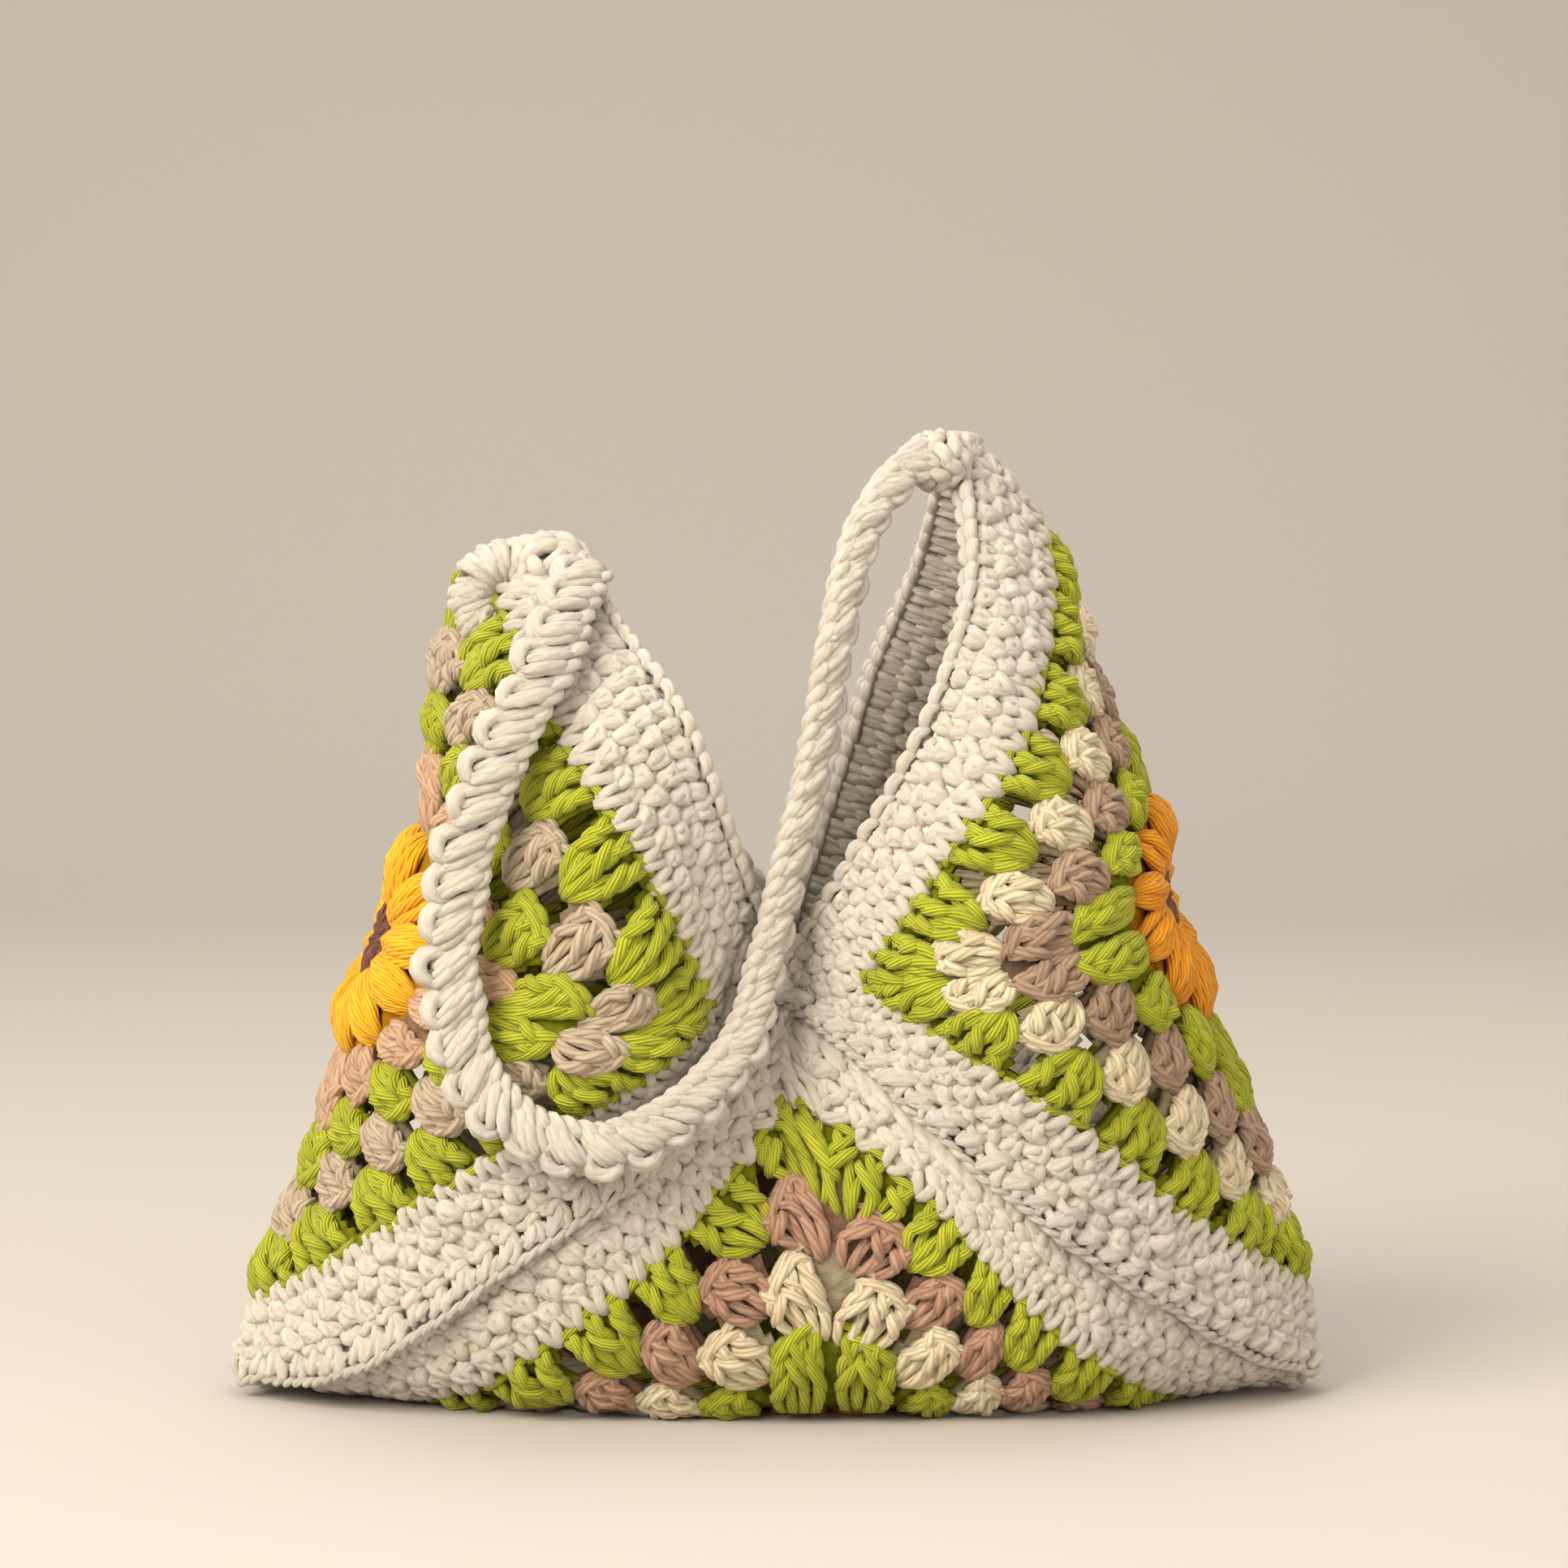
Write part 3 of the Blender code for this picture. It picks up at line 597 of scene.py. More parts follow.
def finishLot(name, lot, material):
    # One joined mesh from all the strands of a piece.
    points = np.concatenate(lot["points"])
    mesh = bpy.data.meshes.new(name)
    mesh.vertices.add(len(points))
    mesh.vertices.foreach_set("co", points.astype(np.float32).reshape(-1))
    corners = np.concatenate([numbers for _, numbers, _ in lot["faces"]])
    sizes = np.concatenate([np.full(len(numbers) // size, size) for size, numbers, _ in lot["faces"]])
    mesh.loops.add(len(corners))
    mesh.loops.foreach_set("vertex_index", corners.astype(np.int32))
    mesh.polygons.add(len(sizes))
    starts = np.concatenate([[0], np.cumsum(sizes)[:-1]])
    mesh.polygons.foreach_set("loop_start", starts.astype(np.int32))
    mesh.update(calc_edges=True)
    mesh.polygons.foreach_set("use_smooth", np.ones(len(sizes), bool))
    layer = mesh.uv_layers.new(name="strand", do_init=False)
    places = np.concatenate([places for _, _, places in lot["faces"]])
    layer.uv.foreach_set("vector", places.astype(np.float32).reshape(-1))
    tones = np.concatenate(lot["tones"])
    kept = mesh.attributes.new("tone", "FLOAT_COLOR", "POINT")
    kept.data.foreach_set("color", np.repeat(tones, 4).astype(np.float32))
    mesh.materials.append(material)
    made = bpy.data.objects.new(name, mesh)
    bpy.context.scene.collection.objects.link(made)
    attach(made, "root")
    made["triangles"] = int((sizes - 2).sum())
    return made


def placed(quarter, s, r):
    # Flat places of a side: s along the side, r outwards from the square's middle.
    c, n = ((1, 0), (0, 1), (-1, 0), (0, -1))[quarter]
    return np.stack([s * c + r * n, s * n - r * c], axis=-1)


def polar(radius, angle):
    return np.stack([radius * np.cos(angle), radius * np.sin(angle)], axis=-1)


def columns(rows):
    # The four columns of a strand's table, read at six even steps.
    table = np.array(rows, float)
    table = np.concatenate([np.arange(len(table))[:, None], table], axis=1)
    return through(table, np.linspace(0, len(table) - 1, 6)).T[:, None]


clusterShape = {
    "yarn": 1.10,  # radius of the yarn in mm
    "limeYarn": 1.22,
    "tuck": 4.3,  # how far a cluster reaches back over the round before
    "pinch": 0.95,  # spacing of the three stitches at the pinched end
    "spread": 3.75,  # and at the chained end
    "lastSpread": 5.6,  # in the last round, which the white border pulls wide
    "belly": 0.75,
    "inside": 1.45,  # radius of the strand on the inner face of a stitch
    "wander": 0.25,  # how far the ends of a stitch stray
    "lift": 0.22,  # how far clusters differ in height
    "ridge": 0.35,  # how much higher the middle stitch stands
    "chain": 3.0,  # half the width of the chain over a stitch
    "cappedChain": 2.5,
    "cap": 0.9,  # how far the closing loop passes the outer stitches
    "free": 1.0,  # what a cluster leaves free of its round
    "cornerFeet": 3.3,  # how far both clusters of a corner stand apart at their feet
    "cornerTops": (2.0, 0.6),  # and at their tops, in most rounds and in the last one
    "cornerUntuck": 2.0,  # how much less these two reach back in round 5
}
# One stitch: along, aside and up in mm, and thickness, for each of its strands.
stitchStrands = (
    (
        (-0.02, -0.45, -0.6, 0.72), (0.10, -0.80, 0.9, 1.00), (0.30, -1.15, 1.6, 1.10),
        (0.50, -0.95, 1.6, 1.02), (0.66, -0.30, 1.1, 0.80),
    ),
    (
        (-0.02, 0.45, -0.7, 0.70), (0.12, 0.75, 0.6, 0.95), (0.32, 1.05, 1.2, 1.05),
        (0.52, 1.20, 1.3, 0.98), (0.70, 0.90, 0.8, 0.80),
    ),
    (
        (0.40, -1.75, 0.2, 0.70), (0.50, -1.15, 1.9, 0.98), (0.63, 0.00, 2.7, 1.05),
        (0.76, 1.15, 2.2, 1.00), (0.86, 1.75, 0.8, 0.72),
    ),
    ((0.60, 1.00, 0.9, 0.75), (0.74, 0.35, 1.7, 0.98), (0.88, -0.55, 1.8, 1.02), (1.00, -1.00, 0.9, 0.80)),
    ((0.58, -1.05, 1.0, 0.75), (0.72, -0.95, 1.8, 0.95), (0.88, 0.35, 1.9, 1.00), (1.02, 1.00, 0.7, 0.78)),
)


def clusterStitches(lot, cloth, bases, tops, sideways, spread, yarn, capped):
    # Three tall stitches for each cluster, pinched at the base and fanned at the chained edge.
    shape = clusterShape
    many = len(bases)
    ahead = unit(tops - bases)
    beside = np.stack([-ahead[:, 1], ahead[:, 0]], axis=1)
    beside *= np.sign((beside * sideways).sum(axis=1, keepdims=True))
    lift = rand.normal(0, shape["lift"], (many, 1))
    for post in (-1, 0, 1):
        jitter = rand.normal(0, shape["wander"], (many, 4)) * mm
        start = bases + beside * (post * shape["pinch"] * mm) + jitter[:, :2] * 0.5
        start = start + ahead * 0.4 * mm * abs(post)
        end = tops + sideways * (post * spread * mm) + jitter[:, 2:]
        end = end - ahead * 0.5 * mm * abs(post)
        way = (end - start)[:, None]
        slide = rand.normal(0, 0.03, (many, 1))
        flip = -1 if post > 0 else 1
        for rows in stitchStrands:
            t, aside, up, thick = columns(rows)
            t = t + slide * (t > 0.1)
            aside = aside * flip * rand.normal(1, 0.10, (many, 1))
            aside = aside + post * shape["belly"] * np.sin(math.pi * t.clip(0, 1))
            center = start[:, None] + way * t[..., None] + beside[:, None] * (aside * mm)[..., None]
            height = (up + lift + rand.normal(0, 0.15, (many, 1)) + shape["ridge"] * (post == 0)) * mm
            lay(lot, cloth, center, height, yarn * mm * thick * rand.normal(1, 0.04, (many, 1)), sides=5)
        # The inner face of the stitch.
        t = np.linspace(0, 1, 4)
        height = np.interp(t, (0, 0.4, 1), (-0.7, -1.4, -0.7)) * mm
        lay(lot, cloth, start[:, None] + way * t[:, None], height, shape["inside"] * mm, sides=5)
        # The chain along the outer edge.
        w = np.linspace(-1, 1, 6)
        bow = np.cos(w * math.pi / 2)
        aside = w * (shape["cappedChain" if capped else "chain"] * mm)
        out = (0.5 + 0.55 * bow - 0.35 * w) * mm
        center = end[:, None] + sideways[:, None] * aside[:, None] + ahead[:, None] * out[:, None]
        thick = yarn * mm * 0.85 * np.interp(w, (-1, -0.5, 0.5, 1), (0.6, 1, 1, 0.6))
        lay(lot, cloth, center, (0.95 + bow * 0.3) * mm, thick, sides=5)
    if capped:
        # The loop that closes the top of a bunched cluster.
        w = np.linspace(-1, 1, 9)
        aside = np.sin(w * math.pi / 2) * (spread + shape["cap"]) * mm
        out = (np.cos(w * math.pi / 2) * 2.2 - 2.4) * mm
        center = tops[:, None] + sideways[:, None] * aside[:, None] + ahead[:, None] * out[:, None]
        height = np.interp(w, (-1, -0.7, 0, 0.7, 1), (0.4, 1.5, 1.9, 1.5, 0.4)) * mm + lift * mm
        lay(lot, cloth, center, height, yarn * mm * np.interp(w, (-1, -0.6, 0.6, 1), (0.7, 1, 1, 0.7)))


def clusterRound(name, cloth, number, tone, node):
    # Round 3 sits on the petals, and each round after it has one more cluster on a side.
    shape = clusterShape
    lot = newLot()
    clusters = number + 1
    last = number == 6
    inner = square["flower"] + (number - 3) * square["row"]
    outer = inner + square["row"]
    order = np.arange(clusters) + 0.5 - clusters / 2
    for quarter in range(4):
        tops = placed(quarter, order * square["pitch"], outer - shape["free"] * mm)
        if number == 3:
            angle = order * math.pi / 2 / clusters
            reach = inner - shape["tuck"] * mm * 0.5
            bases = placed(quarter, np.sin(angle) * reach, np.cos(angle) * reach)
        else:
            bases = placed(quarter, order * square["pitch"], inner - shape["tuck"] * mm)
            # Both clusters of a corner come out of its gap and stand apart.
            for i, way in ((0, -1), (clusters - 1, 1)):
                foot = inner - (shape["tuck"] - shape["cornerUntuck"] * (number == 5)) * mm
                bases[i] = placed(quarter, way * (foot - shape["cornerFeet"] * mm), foot)
                tops[i] -= placed(quarter, way * shape["cornerTops"][last] * mm, 0.0)
        sideways = np.broadcast_to(placed(quarter, 1.0, 0.0), tops.shape)
        yarn = shape["limeYarn" if tone == "lime" else "yarn"]
        spread = shape["lastSpread" if last else "spread"]
        clusterStitches(lot, cloth, bases, tops, sideways, spread, yarn, not last)
    made = finishLot(name, lot, yarns[tone])
    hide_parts(node)


borderShape = {
    "yarn": 1.12,
    "laterYarn": 1.42,
    "inside": 1.65,
    "pitch": 0.0056,  # width of one stitch
    "rows": 4,
    "free": 0.0028,  # along the edge, for the seam or the rim
    "wander": (0.14, 0.28),  # how far stitches stray in the first row and in the later ones, in mm
}
# The two legs of a stitch: aside, outwards and up in mm, and thickness.
firstLegs = (
    (
        (0.70, -1.5, -0.2, 0.90), (-0.15, -1.5, 0.8, 1.08), (-1.00, -0.1, 1.25, 1.08),
        (-2.00, 1.5, 1.05, 1.00), (-2.60, 2.6, 0.2, 0.80),
    ),
    (
        (0.20, -1.3, 0.2, 0.85), (0.85, -0.9, 0.9, 1.02), (1.25, 0.4, 1.15, 1.05),
        (1.50, 1.8, 1.00, 1.00), (1.65, 2.8, 0.2, 0.80),
    ),
)
laterLegs = (
    ((0.5, -1.6, 0.0, 0.85), (-0.2, -0.5, 0.8, 1.05), (-1.2, 0.9, 0.85, 1.02), (-2.0, 2.0, 0.0, 0.85)),
    ((0.6, -1.4, 0.0, 0.85), (1.0, -0.3, 0.8, 1.00), (1.3, 1.1, 0.85, 0.98), (1.3, 2.3, 0.0, 0.85)),
    ((-2.7, 0.9, 0.3, 0.85), (-0.9, 1.3, 0.9, 0.95), (0.9, 1.1, 0.9, 0.95), (2.7, 0.8, 0.3, 0.85)),
)


def borderRows(name, cloth, material, node):
    shape = borderShape
    lot = newLot()
    inner = half - square["border"]
    high = (half - shape["free"] - inner) / shape["rows"]
    for row in range(shape["rows"]):
        low = inner + row * high
        count = round(2 * (low + high) / shape["pitch"])
        pitch = 2 * (low + high / 2) / count
        s0 = ((np.arange(count) + 0.5 - count / 2) * pitch)[:, None]
        stretch = pitch / shape["pitch"]
        later = row > 0
        yarn = shape["laterYarn" if later else "yarn"]
        for quarter in range(4):
            turn = rand.normal(0, 0.05 + 0.10 * later, (count, 1))
            push = rand.normal(0, shape["wander"][later], (count, 3)) * mm
            for rows in (laterLegs if later else firstLegs):
                aside, out, up, thick = columns(rows)
                aside = aside * stretch * (-1 if row % 2 else 1) + turn * out
                own = rand.normal(0, shape["wander"][0], (count, 1)) * mm
                s = s0 + aside * mm + push[:, :1] + own
                r = low + (out + 0.4) * mm + push[:, 1:2]
                height = up * mm + push[:, 2:] + 0.0003
                thick = yarn * mm * thick * rand.normal(1, 0.06, (count, 1))
                lay(lot, cloth, placed(quarter, s, r), height, thick, sides=5, uneven=0.08)
            # The inner face of the same stitches.
            w = np.linspace(0, 1, 4)
            height = -np.interp(w, (0, 0.3, 0.7, 1), (0.3, 1.0, 1.0, 0.4)) * mm
            for leg in (-1, 1):
                s = s0 + leg * (0.75 + 0.4 * w) * mm + push[:, :1]
                r = low - mm + (high + mm) * w
                lay(lot, cloth, placed(quarter, s, r), height, shape["inside"] * mm, sides=5, uneven=0.1)
    made = finishLot(name, lot, material)
    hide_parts(node)


flowerShape = {
    "petals": 12,
    "strands": 5,
    "puff": 3.7,  # how far the petals stand out, in mm
    "yarn": 1.35,
    "free": 0.0012,  # how far the petals stop short of their round
    "fan": 1.1,  # how far the strands of a petal spread
    "arch": 0.16,  # how much lower its outer strands are
    "inside": 0.35,  # share of the puff on the inner face
    "hole": 1.0,  # radius of the eye's middle
    "eyeStitches": 11,
    "eyeTwins": 0.11,  # how far the two strands of an eye stitch turn apart
    "eyeRing": 1.1,  # radius of the yarn round the eye
}


def flowerPieces(name, cloth, petalMaterial):
    shape = flowerShape
    petals = newLot()
    count = shape["petals"]
    t = np.linspace(0, 1, 11)
    radius = np.interp(t, (0, 1), (square["eye"] - shape["free"], square["flower"] - shape["free"]))
    width = np.interp(t, (0, 0.3, 0.65, 0.85, 1), (0.40, 1.15, 1.60, 1.45, 0.60)) * mm
    rise = np.interp(t, (0, 0.2, 0.5, 0.8, 0.95, 1), (0.1, 0.65, 1.0, 0.85, 0.4, 0.0)) * shape["puff"] * mm
    thick = shape["yarn"] * mm * np.interp(t, (0, 0.2, 0.6, 1), (0.65, 0.9, 1.1, 0.7))
    for k in range(shape["strands"]):
        place = k - (shape["strands"] - 1) / 2
        middle = np.arange(count) * 2 * math.pi / count + rand.normal(0, 0.02, count)
        places = polar(radius, middle[:, None] + place * width * shape["fan"] / radius)
        height = rise * (1 - shape["arch"] * abs(place)) + rand.normal(0, 0.15, (count, 1)) * mm
        lay(petals, cloth, places, height, thick)
        lay(petals, cloth, places, -height * shape["inside"] - 0.0006, thick)
    made = finishLot(name + "Petals", petals, petalMaterial)
    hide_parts(name + "_petals")
    eye = newLot()
    count = shape["eyeStitches"]
    angle = (np.arange(count) * 2 * math.pi / count)[:, None]
    t = np.linspace(0, 1, 8)
    radius = np.interp(t, (0, 1), (shape["hole"] * mm, square["eye"] - 0.0004))
    for twin in (-1, 1):
        height = np.interp(t, (0, 0.4, 0.8, 1), (-0.4, 1.3, 1.5, 0.6)) * mm + twin * 0.0003
        thick = np.interp(t, (0, 0.3, 1), (0.6, 0.95, 1.15)) * mm
        lay(eye, cloth, polar(radius, angle + twin * shape["eyeTwins"]), height, thick)
    w = np.linspace(-1, 1, 7)
    thick = shape["eyeRing"] * mm * np.interp(w, (-1, -0.5, 0.5, 1), (0.6, 1, 1, 0.6))
    for front in (1, -1):
        radius = square["eye"] + 0.3 * w * front * mm
        lay(eye, cloth, polar(radius, angle + w * math.pi / count * 1.15), front * 1.2 * mm, thick)
    made = finishLot(name + "Eye", eye, yarns["brown"])
    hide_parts(name + "_eye")


netShape = {
    "around": 48,  # steps along a side
    "thick": 0.0016,
    "open": 0.0031,  # half the width of a gap at its foot
    "close": 0.0010,  # and where it ends,
    "end": 0.8,  # at this share of its round
    "middle": (0.0015, 0.008, 0.0125, 0.017, 0.0215),  # rings of the flower
    "perRound": 4,  # rings of each colored round
    "rows": 5,  # and of the border
    "hem": 0.0012,  # left free along the edge
    "even": 0.4,  # how strongly the net is smoothed
    "light": 0.38,  # share of the yarn's color that the net shows: painted shade, so that the net in the gaps looks like the dark inside of the bag
    "whiteLight": 0.95,
    "fibre": 900.0,  # how fine its relief is,
    "bump": 0.0006,  # how deep,
    "lump": 420.0,  # and how fine its spots are
}


def onWholeMesh(step, **values):
    # One editing step on all of the active object.
    bpy.ops.object.mode_set(mode="EDIT")
    bpy.ops.mesh.select_all(action="SELECT")
    step(**values)
    bpy.ops.object.mode_set(mode="OBJECT")


def inGap(number, middle, s):
    # Whether a face of the net lies in the gap between two clusters of its round.
    share = (middle - square["flower"]) / square["row"] - number
    away = abs((s / square["pitch"] + (number + 4) / 2 + 0.5) % 1 - 0.5) * square["pitch"]
    width = netShape["open"] + (netShape["close"] - netShape["open"]) * share / netShape["end"]
    return share < netShape["end"] and away < width


def clothNet(name, cloth, tones):
    # The thin middle of the cloth, open between the clusters, that the stitches lie on. Its darkened color
    # is painted shade where it shows between the stitches.
    rings = list(netShape["middle"])
    steps = netShape["perRound"]
    rings += [square["flower"] + k * square["row"] / steps for k in range(4 * steps + 1)]
    hem = square["border"] - netShape["hem"]
    rings += [half - square["border"] + hem * k / netShape["rows"] for k in range(1, netShape["rows"] + 1)]
    around = netShape["around"]
    slide = np.arange(around) * 2 / around - 1
    flat = []
    for radius in rings:
        corner = min(max((radius - square["flower"]) / square["row"], 0.0), 1.0)
        size = corner + (1 - corner) / np.hypot(slide, 1)
        for quarter in range(4):
            flat.append(placed(quarter, slide * size * radius, size * radius))
    flat = np.concatenate(flat)
    points, _ = laid(cloth, np.concatenate([flat, np.zeros((len(flat), 1))], axis=1))
    ring = 4 * around
    faces, slots = [tuple(range(ring))], [0]
    for i in range(len(rings) - 1):
        middle = (rings[i] + rings[i + 1]) / 2
        number = int((middle - square["flower"]) // square["row"]) if middle > square["flower"] else -1
        for k in range(ring):
            n = (k + 1) % ring
            closed = name == "baseCloth" and k // around < 2  # painted shade: the gaps of the base's back half stay closed with the dark net, so that no backdrop shows through them
            s = (slide[k % around] + 1 / around) * middle
            if 0 <= number < 4 and not closed and inGap(number, middle, s):
                continue
            faces.append((i * ring + k, i * ring + n, (i + 1) * ring + n, (i + 1) * ring + k))
            slots.append(0 if middle < square["eye"] else (1 if number < 0 else min(number + 2, 6)))
    mesh = bpy.data.meshes.new(name)
    mesh.from_pydata(points.tolist(), [], faces)
    for tone in tones:
        mesh.materials.append(netMaterials[tone])
    mesh.polygons.foreach_set("material_index", np.array(slots, np.int32))
    made = bpy.data.objects.new(name, mesh)
    bpy.context.scene.collection.objects.link(made)
    bpy.ops.object.select_all(action="DESELECT")
    made.select_set(True)
    bpy.context.view_layer.objects.active = made
    onWholeMesh(bpy.ops.mesh.vertices_smooth, factor=netShape["even"], repeat=1)
    thickness = made.modifiers.new("thickness", "SOLIDIFY")
    thickness.thickness = netShape["thick"]
    thickness.offset = 0.0
    bpy.ops.object.modifier_apply(modifier="thickness")
    onWholeMesh(bpy.ops.mesh.normals_make_consistent, inside=False)
    bpy.ops.object.shade_smooth()
    made.select_set(False)
    made["triangles"] = 2 * len(made.data.polygons)
    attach(made, "root")


def netMaterial(name, color, shade, light):
    made, tree, shader = newMaterial(name)
    place = addNode(tree, "TexCoord").outputs["Object"]
    fine = {"Vector": place, "Scale": netShape["fibre"], "Detail": 3.0}
    fibre = addNode(tree, "TexNoise", fine).outputs["Fac"]
    spots = {"Vector": place, "Scale": netShape["lump"]}
    lump = addNode(tree, "TexVoronoi", spots).outputs["Distance"]
    # Painted shade: both colors of the net are darkened by its light share.
    pale, dark = [(*[x * light for x in tone], 1) for tone in (color, shade)]
    dye = addNode(tree, "Mix", data_type="RGBA")
    setInputs(tree, dye, {0: lump, 6: pale, 7: dark})
    bump = addNode(tree, "Bump", {"Distance": netShape["bump"], "Height": fibre})
    setInputs(tree, shader, {"Base Color": dye.outputs[2], "Normal": bump.outputs["Normal"]})
    setInputs(tree, shader, {"Roughness": 0.95, "Specular IOR Level": 0.1})
    return made


netMaterials = {}
for name, (color, shade, *_) in yarnColors.items():
    light = netShape["whiteLight" if name == "white" else "light"]
    netMaterials[name] = netMaterial(name + "ShadedGround", color, shade, light)

squares = {
    "left": {"petals": "yellow", "rounds": ("peach", "lime", "beige", "lime")},
    "base": {"petals": "orange", "rounds": ("lime", "cream", "rose", "lime")},
    "right": {"petals": "orange", "rounds": ("lime", "taupe", "cream", "lime")},
}
for name, colors in squares.items():
    cloth = cloths[name]
    flowerPieces(name, cloth, yarns[colors["petals"]])
    for number, tone in enumerate(colors["rounds"], 3):
        node = f"{name}_round_{number}_{tone}"
        clusterRound(f"{name}Round{number}{tone.title()}", cloth, number, tone, node)
    borderRows(name + "Border", cloth, yarns["white"], name + "_border")
    clothNet(name + "Cloth", cloth, ("brown", colors["petals"], *colors["rounds"], "white"))
    print(name, "square worked")

edgeShape = {
    "yarn": 1.22,
    "inside": 1.4,
    "pitch": 0.0056,
    "rope": 0.68,  # radius of the two thin strands along a joined edge, in mm
    "ropeTurn": 0.0062,  # length of one turn of them
    "lap": (0.0042, 0.0048),  # how far the stitches lie over the border, outside and inside
    "wander": 0.3,  # how far they stray, in mm,
    "turn": 0.22,  # how far they lean
    "size": 0.12,  # and how much they differ
}
lyingLegs = (
    ((-2.5, -0.9, 0.7, 0.85), (-0.8, -0.2, 1.7, 1.05), (0.9, -0.7, 1.7, 1.02), (2.5, -0.4, 0.6, 0.85)),
    ((-1.9, 1.9, 0.6, 0.80), (-0.4, 0.9, 1.6, 0.98), (0.8, 0.2, 1.5, 0.98), (1.5, -0.9, 0.5, 0.80)),
)


def edgeRow(lot, cloth, quarter, rise, reach, joinedEdge):
    # A last row of stitches worked over the edge of one side, wrapping from face to face.
    shape = edgeShape
    count = int(2 * half / shape["pitch"])
    pitch = 2 * half / count
    middles = (np.arange(count) + 0.5 - count / 2) * pitch
    s0 = middles[:, None]
    push = rand.normal(0, shape["wander"], (count, 3)) * mm
    turn = rand.normal(0, shape["turn"], (count, 1))
    size = rand.normal(1, shape["size"], (count, 1))
    outside, inside = [half - lap for lap in shape["lap"]]
    for rows in laterLegs + (lyingLegs if rise else ()):
        aside, out, up, thick = columns(rows)
        s = s0 + (aside * size + turn * out + rand.normal(0, 0.25, (count, 1))) * mm + push[:, :1]
        share = (out * size + 1.6) / 4.0
        r = outside + share * (0.0040 + reach) + push[:, 1:2] * 0.6
        height = (up + rise * np.clip(share, 0, 1.1) ** 1.6) * mm + push[:, 2:] * 0.6 + 0.0003
        thick = shape["yarn"] * mm * thick * rand.normal(1, 0.09, (count, 1))
        lay(lot, cloth, placed(quarter, s, r), height, thick, sides=5, uneven=0.08)
    w = np.linspace(0, 1, 5)
    height = -np.interp(w, (0, 0.3, 0.7, 1), (0.3, 1.0, 1.0, 0.5)) * mm + rise * w**1.6 * mm * 0.6
    for leg in (-1, 1):
        s = s0 + leg * (0.5 + 0.9 * w) * mm + push[:, :1]
        places = placed(quarter, s, inside + (0.0046 + reach) * w)
        lay(lot, cloth, places, height, shape["inside"] * mm, sides=5, uneven=0.1)
    if joinedEdge:
        # Two thin strands turned round each other run along it.
        s = np.linspace(-half + mm, half - mm, count * 7)
        sway = np.interp(s, middles, rand.normal(0, 0.25, count))
        for start in (0, math.pi):
            angle = s / shape["ropeTurn"] * 2 * math.pi + start
            r = half + reach + (0.5 + 0.45 * np.cos(angle) + sway) * mm
            height = (rise * 0.95 + 0.55 * np.sin(angle) + 0.3 + 0.5 * sway) * mm
            lay(lot, cloth, placed(quarter, s, r)[None], height, shape["rope"] * mm)
        return
    # The chain along a free edge: a front and a back loop that close in a V.
    w = np.linspace(-1, 1, 8)
    r = half + reach + np.interp(w, (-1, -0.3, 0.4, 1), (-0.4, 0.9, 0.9, 0.1)) * mm
    thick = shape["yarn"] * mm * np.interp(w, (-1, -0.6, 0.3, 1), (0.6, 0.95, 1.08, 0.6))
    for front in (1, -1):
        s = s0 + w * pitch * 0.66 + push[:, :1]
        bow = front * np.interp(w, (-1, -0.4, 0.4, 1), (0.5, 1.45, 1.15, 0.1))
        lay(lot, cloth, placed(quarter, s, r), (bow + rise) * mm + push[:, 2:] * 0.5, thick)


tipShape = {
    "ring": (-48.9, -13.5, 146.8),  # middle of the small ring at the left tip, in mm
    "wide": 6.0,
    "high": 6.3,
    "tube": 2.9,
    "core": 2.0,
    "wraps": 19,
    "yarn": 1.2,
    "knotStrands": 34,
}
# Lumpy knots where the strap is worked on, and the blunt corners where two squares meet at the floor:
# middle, and half the size, in mm.
knots = {
    "leftRim": ((-40.5, -14.0, 152.6), (6.2, 5.5, 5.2)),
    "rightRim": ((29.0, -12.0, 171.5), (5.2, 5.0, 4.6)),
    "leftSeam": ((-94.8, -0.5, 8.0), (3.7, 5.0, 6.0)),
    "rightSeam": ((94.8, -0.5, 8.0), (3.7, 5.0, 6.4)),
}


def tipRing(lot):
    shape = tipShape
    many = shape["wraps"]
    middleX, middleY, middleZ = shape["ring"]
    w = np.linspace(0, 1, 8)
    thick = shape["yarn"] * mm * np.interp(w, (0, 0.2, 0.8, 1), (0.7, 1.1, 1.1, 0.7))
    for twin in (0, 1):
        turn = (np.arange(many) + twin * 0.5) * 2 * math.pi / many + rand.normal(0, 0.06, many)
        wrap = np.radians(-150 + 300 * w) + rand.normal(0, 0.2, (many, 1)) + math.pi * twin
        angle = turn[:, None] + (w - 0.5) * 0.55
        tube = shape["tube"] * (1.0 + 0.22 * np.cos(angle - math.pi * 0.85))
        out = tube * np.cos(wrap)
        x = middleX + (shape["wide"] + out) * np.cos(angle)
        z = middleZ + (shape["high"] + out) * np.sin(angle)
        points = np.stack([x, middleY + tube * np.sin(wrap), z], axis=2) * mm + shift
        normals = np.stack([np.cos(angle), 0 * angle, np.sin(angle)], axis=2)
        spin(lot, points, normals, thick, uneven=0.09)
    angle = np.linspace(0, 2 * math.pi, 25)
    x = middleX + shape["wide"] * np.cos(angle)
    z = middleZ + shape["high"] * np.sin(angle)
    points = np.stack([x, 0 * angle + middleY, z], axis=1)[None] * mm + shift
    spin(lot, points, np.broadcast_to((0.0, -1.0, 0.0), points.shape), shape["core"] * mm)


